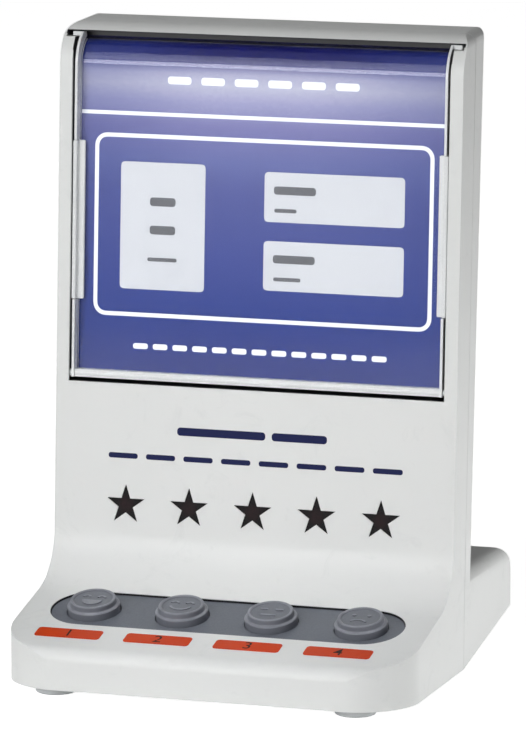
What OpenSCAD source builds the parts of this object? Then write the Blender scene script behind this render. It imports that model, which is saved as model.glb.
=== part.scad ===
// Customer feedback button terminal: a leaning counter stand with a card
// holder that tips open, five star lamps and a sloping deck with four buttons.
// Millimetres. +Z is up, the front faces -Y, +X is to the viewer's right.
// Origin: middle of the overall box, on the surface that the feet stand on.
// Heights in the settings are measured up from the underside of the housing.

/* [Housing] */
// Width of the housing
body_w = 163; // [158:1:180]
// Depth of the housing, front lip to tail end
body_d = 153; // [147:1:170]
// Height of the top edge at the back
body_h = 246.8; // [240:0.1:262]
// Thickness of the moulded walls
wall = 2.5; // [2:0.1:3]
// Gap between the two shells along their seam
seam_gap = 0.3; // [0.2:0.05:0.5]
// Clearance between pieces that are dropped into one another
fit_gap = 0.3; // [0.2:0.05:0.4]
// Thickness of the plate that closes the base
plate_t = 2; // [1.6:0.1:2.4]

/* [Upright] */
// Lean of the front face from vertical, in degrees
face_lean = 3; // [2:0.25:4]
// Distance from the front lip back to the face, at the underside
face_setback = 65.8; // [64:0.2:70]
// Thickness of the upright, at the underside
upright_t = 28.8; // [28:0.2:32]
// Lean of the back from vertical, in degrees
back_lean = 4; // [3:0.25:5]
// Depth of the front shell behind the face
seam_depth = 16; // [15.5:0.1:17]
// Slope of the top, rising to the back, in degrees
top_slope = 2; // [1:0.5:4]
// Radius where the face turns into the top
top_r = 16.5; // [14:0.5:18]
// Radius of the top corners seen from the front
top_corner_r = 5; // [3:0.5:8]
// Radius of the upright edges at the back
back_edge_r = 7; // [5:0.5:8]
// Radius of the top edge at the back
top_back_r = 2; // [1:0.5:4]

/* [Deck and tail] */
// Slope of the button deck, in degrees
deck_slope = 13.7; // [12:0.1:15]
// Height of the front lip
lip_h = 15.4; // [14.8:0.1:17]
// Rounding of the front lip
lip_r = 6; // [4:0.5:8]
// Radius of the hollow between the deck and the face
deck_fillet_r = 23; // [18:1:26]
// Radius of the front corners seen from above
corner_r = 24; // [18:1:26]
// Height of the tail
tail_h = 36.6; // [35:0.2:40]
// Rise of the tail's underside, in degrees
tail_rise = 10.6; // [8:0.2:11]
// Slope of the tail's end wall from vertical, in degrees
tail_end_slope = 17; // [10:1:18]
// Radius of the tail's corners seen from above
tail_corner_r = 5; // [3:0.5:9]

/* [Card window] */
// Width of the frame beside the window
frame_w = 5.2; // [4.9:0.1:6.2]
// Height of the window's sill
win_bottom = 107; // [105:0.5:112]
// Depth of the window pocket
pocket_depth = 13.4; // [13.2:0.1:13.6]
// Thickness of the lip over the window
lip_t = 2.9; // [2.5:0.1:3.2]
// Gap beside the card holder
win_gap = 1; // [0.8:0.1:1.2]
// Gap under the card holder
sill_gap = 1.6; // [1.4:0.1:2]
// Height of the corner notches under the lip
ear_notch_h = 2; // [1.8:0.1:2.6]
// How far the corner notches reach beyond the window
ear_notch_w = 4; // [3:0.1:4.2]
// Width of the thumb notch in the lip
thumb_w = 56; // [40:1:70]
// Slope of the thumb notch, in degrees
thumb_slope = 38; // [32:1:45]

/* [Card holder] */
// Height of the rail along the holder's foot
rail_h = 3; // [2.8:0.1:3.4]
// Thickness of the holder's side rims
rim_t = 1; // [0.8:0.1:1.2]
// Thickness of the holder's back
carrier_t = 1.7; // [1.4:0.1:2]
// Depth of the clear sheet behind the face
sheet_depth = 4.3; // [4:0.1:4.6]
// Thickness of the clear sheet
sheet_t = 1; // [0.8:0.1:1.2]
// Thickness of the card
card_t = 0.4; // [0.3:0.05:0.5]
// Drop from the lip down to where the holder starts to curve back
curve_drop = 13.4; // [13.2:0.1:16]
// Radius of the curved top of the clear sheet
curve_r = 11.3; // [10:0.1:11.4]
// Sweep of the card's curved top, in degrees
curve_sweep = 66; // [60:1:67]
// How far the clear sheet sweeps on above the card, in degrees
sheet_over = 8; // [4:1:9]
// Diameter of the pivots at the rail's ends
pivot_d = 2.6; // [2.4:0.1:2.8]
// Running clearance round a pivot
pivot_gap = 0.1; // [0.05:0.01:0.1]
// Length of a pivot
pivot_l = 3.4; // [2.8:0.1:3.6]
// Height of the card clips' lower end
clip_bottom = 139; // [132:1:145]
// Length of the card clips
clip_l = 62; // [50:1:66]
// How far a clip reaches over the sheet
clip_reach = 2.6; // [2:0.1:3]
// Thickness of a clip's lip
clip_t = 1.4; // [1.2:0.1:1.6]

/* [Star lamps] */
// Height of the row of stars
star_h = 59.5; // [58:0.5:64]
// Distance between stars
star_pitch = 26; // [22:0.5:27]
// Radius of a star, centre to tip
star_r = 8.25; // [7:0.25:9]
// Thickness of the lens plate
lens_t = 2; // [1.6:0.1:2.4]
// Height of the lens plate and the baffle
lens_h = 22; // [21:0.5:23]
// Depth of the baffle's wells
baffle_depth = 7; // [6.8:0.1:7.4]
// Thickness of the walls between the wells
baffle_wall = 1.2; // [1:0.1:1.6]
// Diameter of a lamp
led_d = 5; // [4:0.5:6]
// Height of a lamp
led_h = 5.6; // [5:0.1:6.4]

/* [Keypad] */
// Distance from the front lip back to the middle of the keypad
pad_back = 37.7; // [36.6:0.1:38.6]
// Length of the keypad slot
slot_l = 142; // [134:1:144]
// Width of the keypad slot
slot_w = 29.5; // [28:0.5:30]
// Depth of the keypad's face below the deck
bezel_drop = 1; // [0.6:0.1:1.4]
// Width of the bezel's flange
flange_w = 3; // [2.4:0.1:3.4]
// Thickness of the bezel's flange
flange_t = 1.5; // [1.2:0.1:1.8]
// Distance between buttons
button_pitch = 36; // [32:0.5:37]
// Diameter of a button's foot
button_d = 20.4; // [18:0.2:21]
// Diameter of a button's top rim
button_top_d = 17.7; // [16:0.1:17.9]
// Height of a button above the deck
button_h = 4.2; // [3.6:0.1:5]
// Gap round a button
button_gap = 0.4; // [0.3:0.05:0.5]
// Travel of a button
button_travel = 1.6; // [1.2:0.1:1.8]
// Height of the relief on a button
relief_h = 0.35; // [0.2:0.05:0.5]
// Diameter of a contact pill
pill_d = 8; // [6:0.5:9]
// Height of a contact pill
pill_h = 1; // [0.8:0.1:1.2]
// Thickness of the keypad mat
mat_t = 0.8; // [0.6:0.1:1]
// Length of a button label
label_l = 26.4; // [24:0.2:28]
// Width of a button label
label_w = 7.5; // [6.5:0.1:8]
// Distance from the middle of the keypad forward to the labels
label_fwd = 23.4; // [22.6:0.1:24]
// Sideways offset of the labels from the buttons
label_shift = -2; // [-3:0.5:1]
// Thickness of a label
label_t = 0.25; // [0.2:0.05:0.4]

/* [Boards and sound] */
// Thickness of the circuit boards
board_t = 1.6; // [1.4:0.1:1.8]
// Width of the main board
main_w = 96; // [90:1:104]
// Height of the main board
main_h = 60; // [56:1:62]
// Height of the main board's lower edge
main_bottom = 50; // [49:0.5:54]
// Height of the posts under the main board
post_h = 5; // [4.6:0.1:5.2]
// Height of the speaker's middle
speaker_h = 178; // [170:1:185]
// Diameter of the speaker
speaker_d = 50; // [44:1:54]
// Diameter of a hole in the sound grille
grille_d = 2.6; // [2:0.1:3]
// Distance between holes in the sound grille
grille_pitch = 5; // [4.6:0.1:5.6]
// Sideways place of the data socket
socket_x = -45; // [-48:1:-28]
// Height of the socket board's underside
socket_h = 17.6; // [17.2:0.1:18.6]

/* [Feet and screws] */
// Diameter of a foot
foot_d = 16; // [14:0.5:17]
// Height of a foot
foot_h = 3; // [2.6:0.1:3.6]
// Sideways place of the front feet
front_foot_x = 60; // [56:0.5:61]
// Distance from the front lip back to the front feet
front_foot_back = 11.5; // [11:0.1:13]
// Sideways place of the rear feet
rear_foot_x = 50; // [40:1:56]
// Distance from the tail end forward to the rear feet
rear_foot_in = 26.5; // [22:0.5:30]
// Diameter of a housing screw's thread
screw_d = 2.9; // [2.6:0.1:3]
// Diameter of a housing screw's head
screw_head_d = 5.6; // [5.2:0.1:5.8]
// Height of a housing screw's head
screw_head_h = 2; // [1.6:0.1:2.2]

/* [Hidden] */
$fn = 48;
eps = 0.01;
big = 320;

shell_color = [0.88, 0.89, 0.87];
pad_color = [0.45, 0.47, 0.53];
board_color = [0.10, 0.35, 0.20];
steel_color = [0.72, 0.73, 0.75];
black_color = [0.08, 0.08, 0.09];

zb = foot_h;
front_y = -body_d / 2;
rear_y = body_d / 2;
half_w = body_w / 2;
win_w = body_w - 2 * frame_w;
face_y = front_y + face_setback;
back_y = face_y + upright_t;
seam_step = 1.1;
seam_y = face_y + seam_depth / cos(face_lean) + seam_step;
tail_z = zb + tail_h;

// ---- plane geometry: a line is [point, direction], its left side is inside ----
function unit(v) = v / norm(v);
function shifted(l, d) = l[0] + d * [-sin(l[1]), cos(l[1])];
function cross2(a, b) = a[0] * b[1] - a[1] * b[0];
function meet(l, m, dl = 0, dm = 0) =
    let (p = shifted(l, dl), q = shifted(m, dm),
         u = [cos(l[1]), sin(l[1])], v = [cos(m[1]), sin(m[1])])
    p + u * cross2(q - p, v) / cross2(u, v);
// Corners of the outline that the lines enclose, each line moved in by its inset.
function corners(lines, insets) =
    let (n = len(lines))
    [for (i = [0 : n - 1])
        meet(lines[i], lines[(i + 1) % n], insets[i], insets[(i + 1) % n])];
function fillet(a, v, b, r) =
    let (u = unit(a - v), w = unit(b - v), half = acos(u * w) / 2,
         c = v + unit(u + w) * r / sin(half),
         p = v + u * r / tan(half), q = v + w * r / tan(half),
         a0 = atan2(p[1] - c[1], p[0] - c[0]),
         turn = (cross2(p - c, q - c) > 0 ? 1 : -1) * (180 - 2 * half),
         n = max(4, ceil(abs(turn) / 5)))
    [for (i = [0 : n]) c + r * [cos(a0 + turn * i / n), sin(a0 + turn * i / n)]];
function rounded(pts, radii) =
    let (n = len(pts))
    [for (i = [0 : n - 1]) each radii[i] > 0
        ? fillet(pts[(i + n - 1) % n], pts[i], pts[(i + 1) % n], radii[i])
        : [pts[i]]];

// Side-view lines, as [Y, Z] and a direction in degrees.
face_line = [[face_y, zb], 270 - face_lean];
deck_line = [[front_y, zb + lip_h], 180 + deck_slope];
top_line = [[back_y + body_h * tan(back_lean), zb + body_h], 180 + top_slope];
seam_line = [[face_y + seam_depth / cos(face_lean), zb], 90 - face_lean];

// Places on the front face, the back and the deck: s runs up the surface,
// and z stands out of the face or the deck, or into the housing from the back.
module on_face(s = 0, z = 0) {
    translate([0, face_y, zb]) rotate([90 - face_lean, 0, 0]) translate([0, s, z]) children();
}
module on_back(s = 0, z = 0) {
    translate([0, back_y, zb]) rotate([90 - back_lean, 0, 0]) translate([0, s, z]) children();
}
pad_y = front_y + pad_back;
pad_z = zb + lip_h + pad_back * tan(deck_slope);
module on_deck(y = 0, z = 0) {
    translate([0, pad_y, pad_z]) rotate([deck_slope, 0, 0]) translate([0, y, z]) children();
}
function face_pt(s, z) = [face_y + s * sin(face_lean) - z * cos(face_lean),
                          zb + s * cos(face_lean) + z * sin(face_lean)];
function back_pt(s, z) = [back_y + s * sin(back_lean) - z * cos(back_lean),
                          zb + s * cos(back_lean) + z * sin(back_lean)];
function deck_pt(y, z) = [pad_y + y * cos(deck_slope) - z * sin(deck_slope),
                          pad_z + y * sin(deck_slope) + z * cos(deck_slope)];
// Solid with a side outline given as [Y, Z] points, w wide and centred on x.
module side_solid(pts, w, x = 0) {
    translate([x - w / 2, 0, 0]) rotate([90, 0, 90]) linear_extrude(w) polygon(pts);
}
// Outline that is w wide, reaches from y = 0 down to -l and has round top corners.
module arch(w, l, r) {
    translate([-w / 2, -l]) square([w, l - r]);
    translate([-w / 2 + r, -r - eps]) square([w - 2 * r, r + eps]);
    for (sx = [-1, 1]) translate([sx * (w / 2 - r), -r]) circle(r);
}
module stadium(l, w) {
    square([l - w, w], center = true);
    for (sx = [-1, 1]) translate([sx * (l - w) / 2, 0]) circle(w / 2);
}
module round_rect(l, w, r) {
    square([l - 2 * r, w], center = true);
    square([l, w - 2 * r], center = true);
    for (sx = [-1, 1], sy = [-1, 1]) translate([sx * (l / 2 - r), sy * (w / 2 - r)]) circle(r);
}

// ---- housing forms: d moves the walls in, open moves the mouths out ----
module top_clip(d) {
    translate([0, top_line[0][0], top_line[0][1]]) rotate([top_slope - 90, 0, 0])
        translate([0, 0, -240]) linear_extrude(big) mirror([0, 1])
        translate([0, -d]) arch(body_w - 2 * d, big, max(top_corner_r - d, 1));
}
module front_form(d = 0, open = 0) {
    lines = [[[0, zb], 0], [[seam_y, 0], 90], seam_line, top_line, face_line, deck_line,
             [[front_y, 0], 270]];
    pts = corners(lines, [-open, -open, -open, d, d, d, d]);
    intersection() {
        side_solid(rounded(pts, [0, 0, 0, top_r - d, deck_fillet_r + d, lip_r - d, 0]),
                   body_w - 2 * d);
        translate([0, front_y + d, 0]) linear_extrude(big) mirror([0, 1])
            arch(body_w - 2 * d, big, corner_r - d);
        top_clip(d);
    }
}
// The rear shell joins two stretches, each cut from the same side outline.
module rear_side(d, open) {
    under_line = [[seam_y, zb], tail_rise];
    end_line = [meet(under_line, [[rear_y, 0], 90]), 90 + tail_end_slope];
    lines = [under_line, end_line, [[0, tail_z], 180], [[back_y, zb], 90 - back_lean], top_line,
             [seam_line[0], 270 - face_lean], [[seam_y, 0], 270]];
    shut = open > 0 ? -open : seam_gap;
    pts = corners(lines, [d, d, d, d, d, shut, shut]);
    side_solid(rounded(pts, [0, back_edge_r - d, back_edge_r + d, max(top_back_r - d, 0), 0, 0, 0]),
               body_w - 2 * d);
}
module rear_form(d = 0, open = 0) {
    intersection() {
        rear_side(d, open);
        translate([0, back_y, zb]) rotate([-back_lean, 0, 0]) translate([0, -d, -40])
            linear_extrude(big) arch(body_w - 2 * d, 90, back_edge_r - d);
        top_clip(d);
    }
    intersection() {
        rear_side(d, open);
        translate([0, rear_y - d, 0]) linear_extrude(tail_z - d)
            arch(body_w - 2 * d, 120, tail_corner_r - d);
        translate([0, -40, tail_z - d]) rotate([90, 0, 180]) linear_extrude(big)
            arch(body_w - 2 * d, 90, back_edge_r - d);
    }
}

// ---- fasteners ----
// Pan-head screw along +Z: its thread ends at z = l and its head is below z = 0.
module screw(l, d = screw_d, head_d = screw_head_d, head_h = screw_head_h) {
    cylinder(h = l, d = d);
    difference() {
        translate([0, 0, -head_h]) cylinder(h = head_h, d = head_d);
        for (a = [0, 90]) rotate(a) translate([0, 0, -head_h + head_h / 4 - eps])
            cube([head_d * 0.62, head_d * 0.16, head_h / 2], center = true);
    }
}
pilot_d = screw_d + 0.1;
passing_d = screw_d + 0.6;
sink_d = screw_head_d + 0.8;
small_d = 2;
small_pilot_d = small_d + 0.1;
small_passing_d = small_d + 0.4;
small_head_d = 3.8;
small_head_h = 1.4;
small_grip = 4;
small_bore = small_grip + 1;
small_boss_d = 5;
module small_screw(l) { screw(l, small_d, small_head_d, small_head_h); }

// Rear-shell screws, in the frame of the face: [x, s]. They enter from the back.
boss_end = seam_depth + 4;
head_seat = boss_end + 4;
rear_screw_l = 9;
rear_boss_d = 8;
rear_tube_d = 9.5;
rear_tube_l = 60;
top_screw = [half_w - 15.5, body_h - 34.8];
low_screw = [half_w - 9.5, star_h + 18.5];
rear_screw_spots = [for (sx = [-1, 1], p = [top_screw, low_screw]) [sx * p[0], p[1]]];
module at_rear_screws() {
    for (p = rear_screw_spots) on_face(p[1]) translate([p[0], 0, 0]) children();
}

// Bottom-plate screws, seen from above: [x, y]. They enter from below.
cup_h = plate_t + 2.4;
cup_d = 9;
cup_seat_t = 1.6;
plate_screw_l = 10;
front_boss_x = 35;
side_boss = [half_w - 8.5, seam_y - 10];
front_boss = [front_boss_x, front_y + 10.5];
plate_spots = [for (sx = [-1, 1], p = [front_boss, side_boss]) [sx * p[0], p[1]]];
plate_boss_d = 7;

// ---- card window ----
pocket_floor_t = 2;
perp_line_dir = -face_lean;
// The pocket's side outline, grown by g on the sill and the back.
function pocket_pts(g = 0, front = 20) =
    corners([[face_pt(win_bottom, 0), perp_line_dir],
             [face_pt(0, -pocket_depth), 90 - face_lean],
             top_line, [face_pt(0, front), 270 - face_lean]],
            [-g, -g, lip_t, 0]);
// The lip's lower edge, where the pocket breaks out of the rounding above the face.
lip_tilt = top_slope + face_lean;
lip_back = top_r - (top_r - lip_t) * sin(lip_tilt)
    - sqrt(pow(top_r, 2) - pow(top_r - lip_t, 2)) * cos(lip_tilt);
lip_under = meet(top_line, [face_pt(0, -lip_back), 90 - face_lean], lip_t, 0);
lip_s = (lip_under[0] - face_y) * sin(face_lean) + (lip_under[1] - zb) * cos(face_lean);

carrier_w = win_w - 2 * win_gap;
carrier_bottom = win_bottom + sill_gap;
rail_top = carrier_bottom + rail_h;
pivot_s = carrier_bottom + rail_h / 2;
pivot_z = -2.4;
card_back = sheet_depth + sheet_t + card_t;
carrier_back = card_back + carrier_t;
rim_front = 0.3;
rim_gap = 0.15;
card_w = carrier_w - 2 * rim_t - 2 * rim_gap;
card_bottom = rail_top + rim_gap;

// A strip that follows the holder's side outline between depths a and b behind
// the face: straight up from s0, then curved back about one centre.
curve_start = lip_s - curve_drop;
card_angles = [for (i = [0 : 16]) curve_sweep * i / 16];
sheet_angles = concat(card_angles, [curve_sweep + sheet_over]);
function arc_pt(depth, a) =
    let (r = curve_r + sheet_depth - depth)
    face_pt(curve_start + r * sin(a), -(sheet_depth + curve_r) + r * cos(a));
function strip_pts(s0, near, far, angles = card_angles) =
    concat([face_pt(s0, -near)], [for (a = angles) arc_pt(near, a)],
           [for (i = [len(angles) - 1 : -1 : 0]) arc_pt(far, angles[i])], [face_pt(s0, -far)]);

module front_shell() {
    color(shell_color) difference() {
        union() {
            difference() {
                front_form();
                front_form(wall, 1);
            }
            intersection() {
                front_form();
                side_solid(pocket_pts(pocket_floor_t), body_w);
            }
            intersection() {
                front_form();
                union() {
                    at_rear_screws() translate([0, 0, -boss_end])
                        cylinder(h = boss_end, d = rear_boss_d);
                    plate_bosses();
                }
            }
            at_rear_screws() translate([0, 0, -boss_end])
                cylinder(h = boss_end - wall - 1, d = rear_boss_d);
            deck_bosses();
            lamp_bosses();
        }
        side_solid(pocket_pts(), win_w);
        ear_notches();
        thumb_notch();
        star_holes();
        on_deck() translate([0, 0, -wall * 2]) linear_extrude(30) stadium(slot_l, slot_w);
        pivot_bores();
        at_rear_screws() translate([0, 0, -boss_end - eps])
            cylinder(h = rear_screw_l - (head_seat - boss_end) + 1, d = pilot_d);
        for (p = plate_spots) translate([p[0], p[1], zb])
            cylinder(h = plate_screw_l + 1.5, d = pilot_d);
        for (p = deck_boss_spots) on_deck(p[1], -board_z - eps) translate([p[0], 0, 0])
            cylinder(h = small_bore, d = small_pilot_d);
        for (p = lamp_boss_spots) on_face(p[1], -lamp_board_z - eps) translate([p[0], 0, 0])
            cylinder(h = small_bore, d = small_pilot_d);
    }
}
module plate_bosses() {
    for (p = plate_spots) translate([p[0], p[1], zb + cup_h])
        cylinder(h = 20, d = plate_boss_d);
    for (sx = [-1, 1]) translate([sx * (side_boss[0] + half_w) / 2, side_boss[1], zb + cup_h + 10])
        cube([half_w - side_boss[0], 2, 20], center = true);
}
// Square-ended notches under the lip that the holder's ears drop into.
module ear_notches() {
    pts = corners([[meet(top_line, face_line, lip_t, 0) - [0, ear_notch_h], perp_line_dir],
                   [face_pt(0, -pocket_depth), 90 - face_lean],
                   top_line, [face_pt(0, 20), 270 - face_lean]],
                  [0, 0, lip_t, 0]);
    side_solid(pts, win_w + 2 * ear_notch_w);
}
// Sloping cut that a fingertip uses above the window.
module thumb_notch() {
    p = lip_under;
    u = [cos(thumb_slope), sin(thumb_slope)];
    pts = [p, p + 14 * u, p + 14 * u + [-20, 0], p + [-20, 0]];
    side_solid(pts, thumb_w);
}
module star(r) {
    polygon([for (i = [0 : 9]) (i % 2 == 0 ? r : r * 0.382) * [sin(36 * i), cos(36 * i)]]);
}
star_x = [for (i = [-2 : 2]) i * star_pitch];
module star_holes() {
    for (x = star_x) on_face(star_h, -wall * 2) translate([x, 0, 0]) linear_extrude(wall * 3)
        star(star_r);
}
module pivot_bores() {
    bore_w = win_w + 2 * (pivot_l - win_gap + 2 * fit_gap);
    on_face(pivot_s, pivot_z) rotate([0, 90, 0])
        cylinder(h = bore_w, d = pivot_d + 2 * pivot_gap, center = true);
}

module rear_shell() {
    color(shell_color) difference() {
        union() {
            difference() {
                rear_form();
                rear_form(wall, 1);
            }
            intersection() {
                rear_form();
                union() {
                    at_rear_screws() translate([0, 0, -rear_tube_l])
                        cylinder(h = rear_tube_l - boss_end, d = rear_tube_d);
                    main_posts();
                    speaker_seat();
                    socket_ledges();
                }
            }
            foot_pedestals();
        }
        at_rear_screws() {
            translate([0, 0, -rear_tube_l]) cylinder(h = rear_tube_l - boss_end + 1, d = passing_d);
            translate([0, 0, -rear_tube_l]) cylinder(h = rear_tube_l - head_seat, d = sink_d);
        }
        for (p = main_spots) on_back(p[1], wall) translate([p[0], 0, 0])
            cylinder(h = post_h + 1, d = small_pilot_d);
        for (a = speaker_angles) on_back(speaker_h, wall - 1) rotate(a)
            translate([speaker_screw_r, 0, 0]) cylinder(h = 10, d = small_pilot_d);
        sound_grille();
        socket_hole();
    }
}
module foot_pedestals() {
    for (sx = [-1, 1]) intersection() {
        translate([sx * rear_foot_x, rear_y - rear_foot_in, zb]) cylinder(h = 24, d = foot_d + 2);
        side_solid([[seam_y, 0], [rear_y, 0],
                    meet([[seam_y, zb], tail_rise], [[rear_y, 0], 90], 1, 0),
                    [seam_y, zb + 1]], body_w);
    }
}

module bottom_plate() {
    g = wall + fit_gap;
    color(shell_color) difference() {
        union() {
            intersection() {
                translate([0, front_y + g, zb]) linear_extrude(plate_t) mirror([0, 1])
                    arch(body_w - 2 * g, big, corner_r - g);
                translate([-half_w, front_y, 0]) cube([body_w, seam_y - fit_gap - front_y, 20]);
            }
            for (p = plate_spots) translate([p[0], p[1], zb]) cylinder(h = cup_h, d = cup_d);
        }
        for (p = plate_spots) translate([p[0], p[1], zb - eps]) {
            cylinder(h = cup_h + 1, d = passing_d);
            cylinder(h = cup_h - cup_seat_t + eps, d = sink_d);
        }
    }
}

// ---- card holder: every piece is in the frame of the face ----
// Ears: width, height and depth, reaching ear_out past the holder's sides.
ear_size = [4, 1.6, 3];
ear_out = 3.4;
ear_s = curve_start + curve_r + 0.6;
module card_carrier() {
    color([0.93, 0.94, 0.94]) difference() {
        union() {
            side_solid(strip_pts(carrier_bottom, card_back, carrier_back), carrier_w);
            for (sx = [-1, 1])
                side_solid(strip_pts(carrier_bottom, rim_front, carrier_back - eps),
                           rim_t, sx * (carrier_w - rim_t) / 2);
            // Rail along the foot, rounded about the pivots.
            side_solid([face_pt(carrier_bottom, -1.2), face_pt(rail_top, -1.2),
                        face_pt(rail_top, -carrier_back + eps),
                        face_pt(carrier_bottom, -carrier_back + eps)], carrier_w);
            on_face(pivot_s, pivot_z) rotate([0, 90, 0])
                cylinder(h = carrier_w, d = rail_h, center = true);
            on_face(pivot_s, pivot_z) rotate([0, 90, 0])
                cylinder(h = win_w + 2 * (pivot_l - win_gap), d = pivot_d, center = true);
            // Ears at the top corners.
            for (sx = [-1, 1]) on_face(ear_s, -sheet_depth - 4.2)
                translate([sx * (carrier_w / 2 + ear_out - ear_size[0] / 2), 0, 0])
                    cube(ear_size, center = true);
        }
        // The rims stop level with the top of the ears.
        on_face(ear_s + ear_size[1] / 2 + 10) cube([2 * carrier_w, 20, 60], center = true);
        // The clips lie in these breaks in the rims.
        for (sx = [-1, 1]) on_face(clip_bottom + clip_l / 2, 0)
            translate([sx * carrier_w / 2, 0, 0])
            cube([4 * rim_t, clip_l + 2 * rim_gap, 2 * sheet_depth], center = true);
    }
}
module clear_sheet() {
    color([0.85, 0.9, 1.0, 0.3])
        side_solid(strip_pts(card_bottom, sheet_depth, sheet_depth + sheet_t,
                             sheet_angles), card_w);
}
module info_card() {
    color([0.22, 0.24, 0.55])
        side_solid(strip_pts(card_bottom, sheet_depth + sheet_t, card_back), card_w);
}
// Clip for the +X edge: a wall on the rim's stub and a lip over the sheet.
module card_clip(sx) {
    outer = win_w / 2 - fit_gap;
    inner = carrier_w / 2 - rim_t - clip_reach;
    color([0.95, 0.96, 0.96]) on_face(clip_bottom + clip_l / 2) {
        translate([sx * (outer + carrier_w / 2 - rim_t) / 2, 0, -sheet_depth / 2 - 0.4])
            cube([outer - carrier_w / 2 + rim_t, clip_l, sheet_depth - 0.8], center = true);
        translate([sx * (outer + inner) / 2, 0, -sheet_depth + clip_t / 2])
            cube([outer - inner, clip_l, clip_t], center = true);
    }
}
module left_card_clip() { card_clip(-1); }
module right_card_clip() { card_clip(1); }

// ---- star lamps: lens, baffle and board stack behind the face ----
lens_w = 4 * star_pitch + 2 * star_r + 3.5;
baffle_z = wall + lens_t;
lamp_board_z = baffle_z + baffle_depth;
lamp_board_w = lens_w + 12;
lamp_boss_spots = [for (sx = [-1, 1]) [sx * (lens_w / 2 + 3.2), star_h]];
module lamp_bosses() {
    for (p = lamp_boss_spots) on_face(p[1], -lamp_board_z) translate([p[0], 0, 0])
        cylinder(h = lamp_board_z - wall / 2, d = small_boss_d);
}
module star_lens() {
    color([0.12, 0.02, 0.03, 0.9]) {
        on_face(star_h, -baffle_z) translate([-lens_w / 2, -lens_h / 2, 0])
            cube([lens_w, lens_h, lens_t]);
        for (x = star_x) on_face(star_h, -baffle_z) translate([x, 0, 0])
            linear_extrude(baffle_z - 0.2) star(star_r - fit_gap);
    }
}
module light_baffle() {
    well = star_pitch - baffle_wall;
    color(black_color) on_face(star_h, -lamp_board_z) difference() {
        translate([-lens_w / 2, -lens_h / 2, 0]) cube([lens_w, lens_h, baffle_depth]);
        for (x = star_x) intersection() {
            translate([x - well / 2, -lens_h / 2 + baffle_wall, -1])
                cube([well, lens_h - 2 * baffle_wall, baffle_depth + 2]);
            translate([-lens_w / 2 + baffle_wall, -lens_h / 2, -1])
                cube([lens_w - 2 * baffle_wall, lens_h, baffle_depth + 2]);
        }
    }
}
module lamp_board() {
    color(board_color) difference() {
        on_face(star_h, -lamp_board_z - board_t) translate([-lamp_board_w / 2, -lens_h / 2 - 1, 0])
            cube([lamp_board_w, lens_h + 2, board_t]);
        for (p = lamp_boss_spots) on_face(p[1], -lamp_board_z - board_t - 1)
            translate([p[0], 0, 0]) cylinder(h = board_t + 2, d = small_passing_d);
    }
}
module star_leds() {
    color([0.75, 0.1, 0.1]) for (x = star_x) on_face(star_h, -lamp_board_z)
        translate([x, 0, 0]) {
            cylinder(h = 1, d = led_d + 0.8);
            cylinder(h = led_h - led_d / 2, d = led_d);
            translate([0, 0, led_h - led_d / 2]) sphere(d = led_d);
        }
}
module lamp_board_screws() {
    color(steel_color) for (p = lamp_boss_spots) on_face(p[1], -lamp_board_z - board_t)
        translate([p[0], 0, 0]) small_screw(board_t + small_grip);
}

// ---- keypad: stacked below the deck, z along the deck's normal ----
bezel_under = wall + flange_t;
button_flange_t = 1.2;
button_flange_d = button_d + 3;
button_bottom = bezel_under + fit_gap + button_flange_t;
board_z = button_bottom + pill_h + button_travel + fit_gap + 0.1;
deck_boss_y = slot_w / 2 + flange_w + fit_gap + small_boss_d / 2;
pad_board = [slot_l - 8, 2 * deck_boss_y + small_boss_d];
button_x = [for (i = [-1.5 : 1 : 1.5]) i * button_pitch];
deck_boss_spots = [for (sx = [-1, 1], sy = [-1, 1]) [sx * button_pitch, sy * deck_boss_y]];
// Posts on the bezel that stand on the board, between the buttons.
bezel_post_x = [-button_pitch, 0, button_pitch];
bezel_post_d = 4;
module deck_bosses() {
    for (p = deck_boss_spots) on_deck(p[1], -board_z) translate([p[0], 0, 0])
        cylinder(h = board_z - wall / 2, d = small_boss_d);
}
module keypad_bezel() {
    color(pad_color) difference() {
        union() {
            on_deck(0, -bezel_under) linear_extrude(bezel_under - bezel_drop)
                stadium(slot_l - 2 * fit_gap, slot_w - 2 * fit_gap);
            on_deck(0, -bezel_under) linear_extrude(flange_t)
                stadium(slot_l + 2 * flange_w, slot_w + 2 * flange_w);
            for (x = bezel_post_x) on_deck(0, -board_z) translate([x, 0, 0])
                cylinder(h = board_z - bezel_under + eps, d = bezel_post_d);
        }
        for (x = button_x) on_deck(0, -bezel_under - 1) translate([x, 0, 0])
            cylinder(h = bezel_under + 2, d = button_d + 2 * button_gap, $fn = 64);
    }
}
// A button: flanged foot below the bezel, two tiers above it, dished top.
module button_body() {
    top = button_h;
    step = button_h * 0.45;
    r0 = button_d / 2;
    r1 = button_top_d / 2;
    rim = 1.1;
    dish = 0.6;
    rotate_extrude($fn = 72) polygon([
        [0, -button_bottom], [button_flange_d / 2, -button_bottom],
        [button_flange_d / 2, -button_bottom + button_flange_t],
        [r0, -button_bottom + button_flange_t], [r0, step - 0.4], [r0 - 0.15, step - 0.12],
        [r0 - 0.5, step], [r1 + 0.35, step + 0.05], [r1 + 0.1, step + 0.35],
        [r1, top - 0.45], [r1 - 0.15, top - 0.12], [r1 - 0.45, top],
        [r1 - rim + 0.2, top - 0.08], [r1 - rim, top - 0.25], [r1 - rim - 0.35, top - dish],
        [0, top - dish]]);
}
relief_z = button_h - 0.6 - 0.1;
module relief() {
    translate([0, 0, relief_z]) linear_extrude(relief_h + 0.1) children();
}
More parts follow.
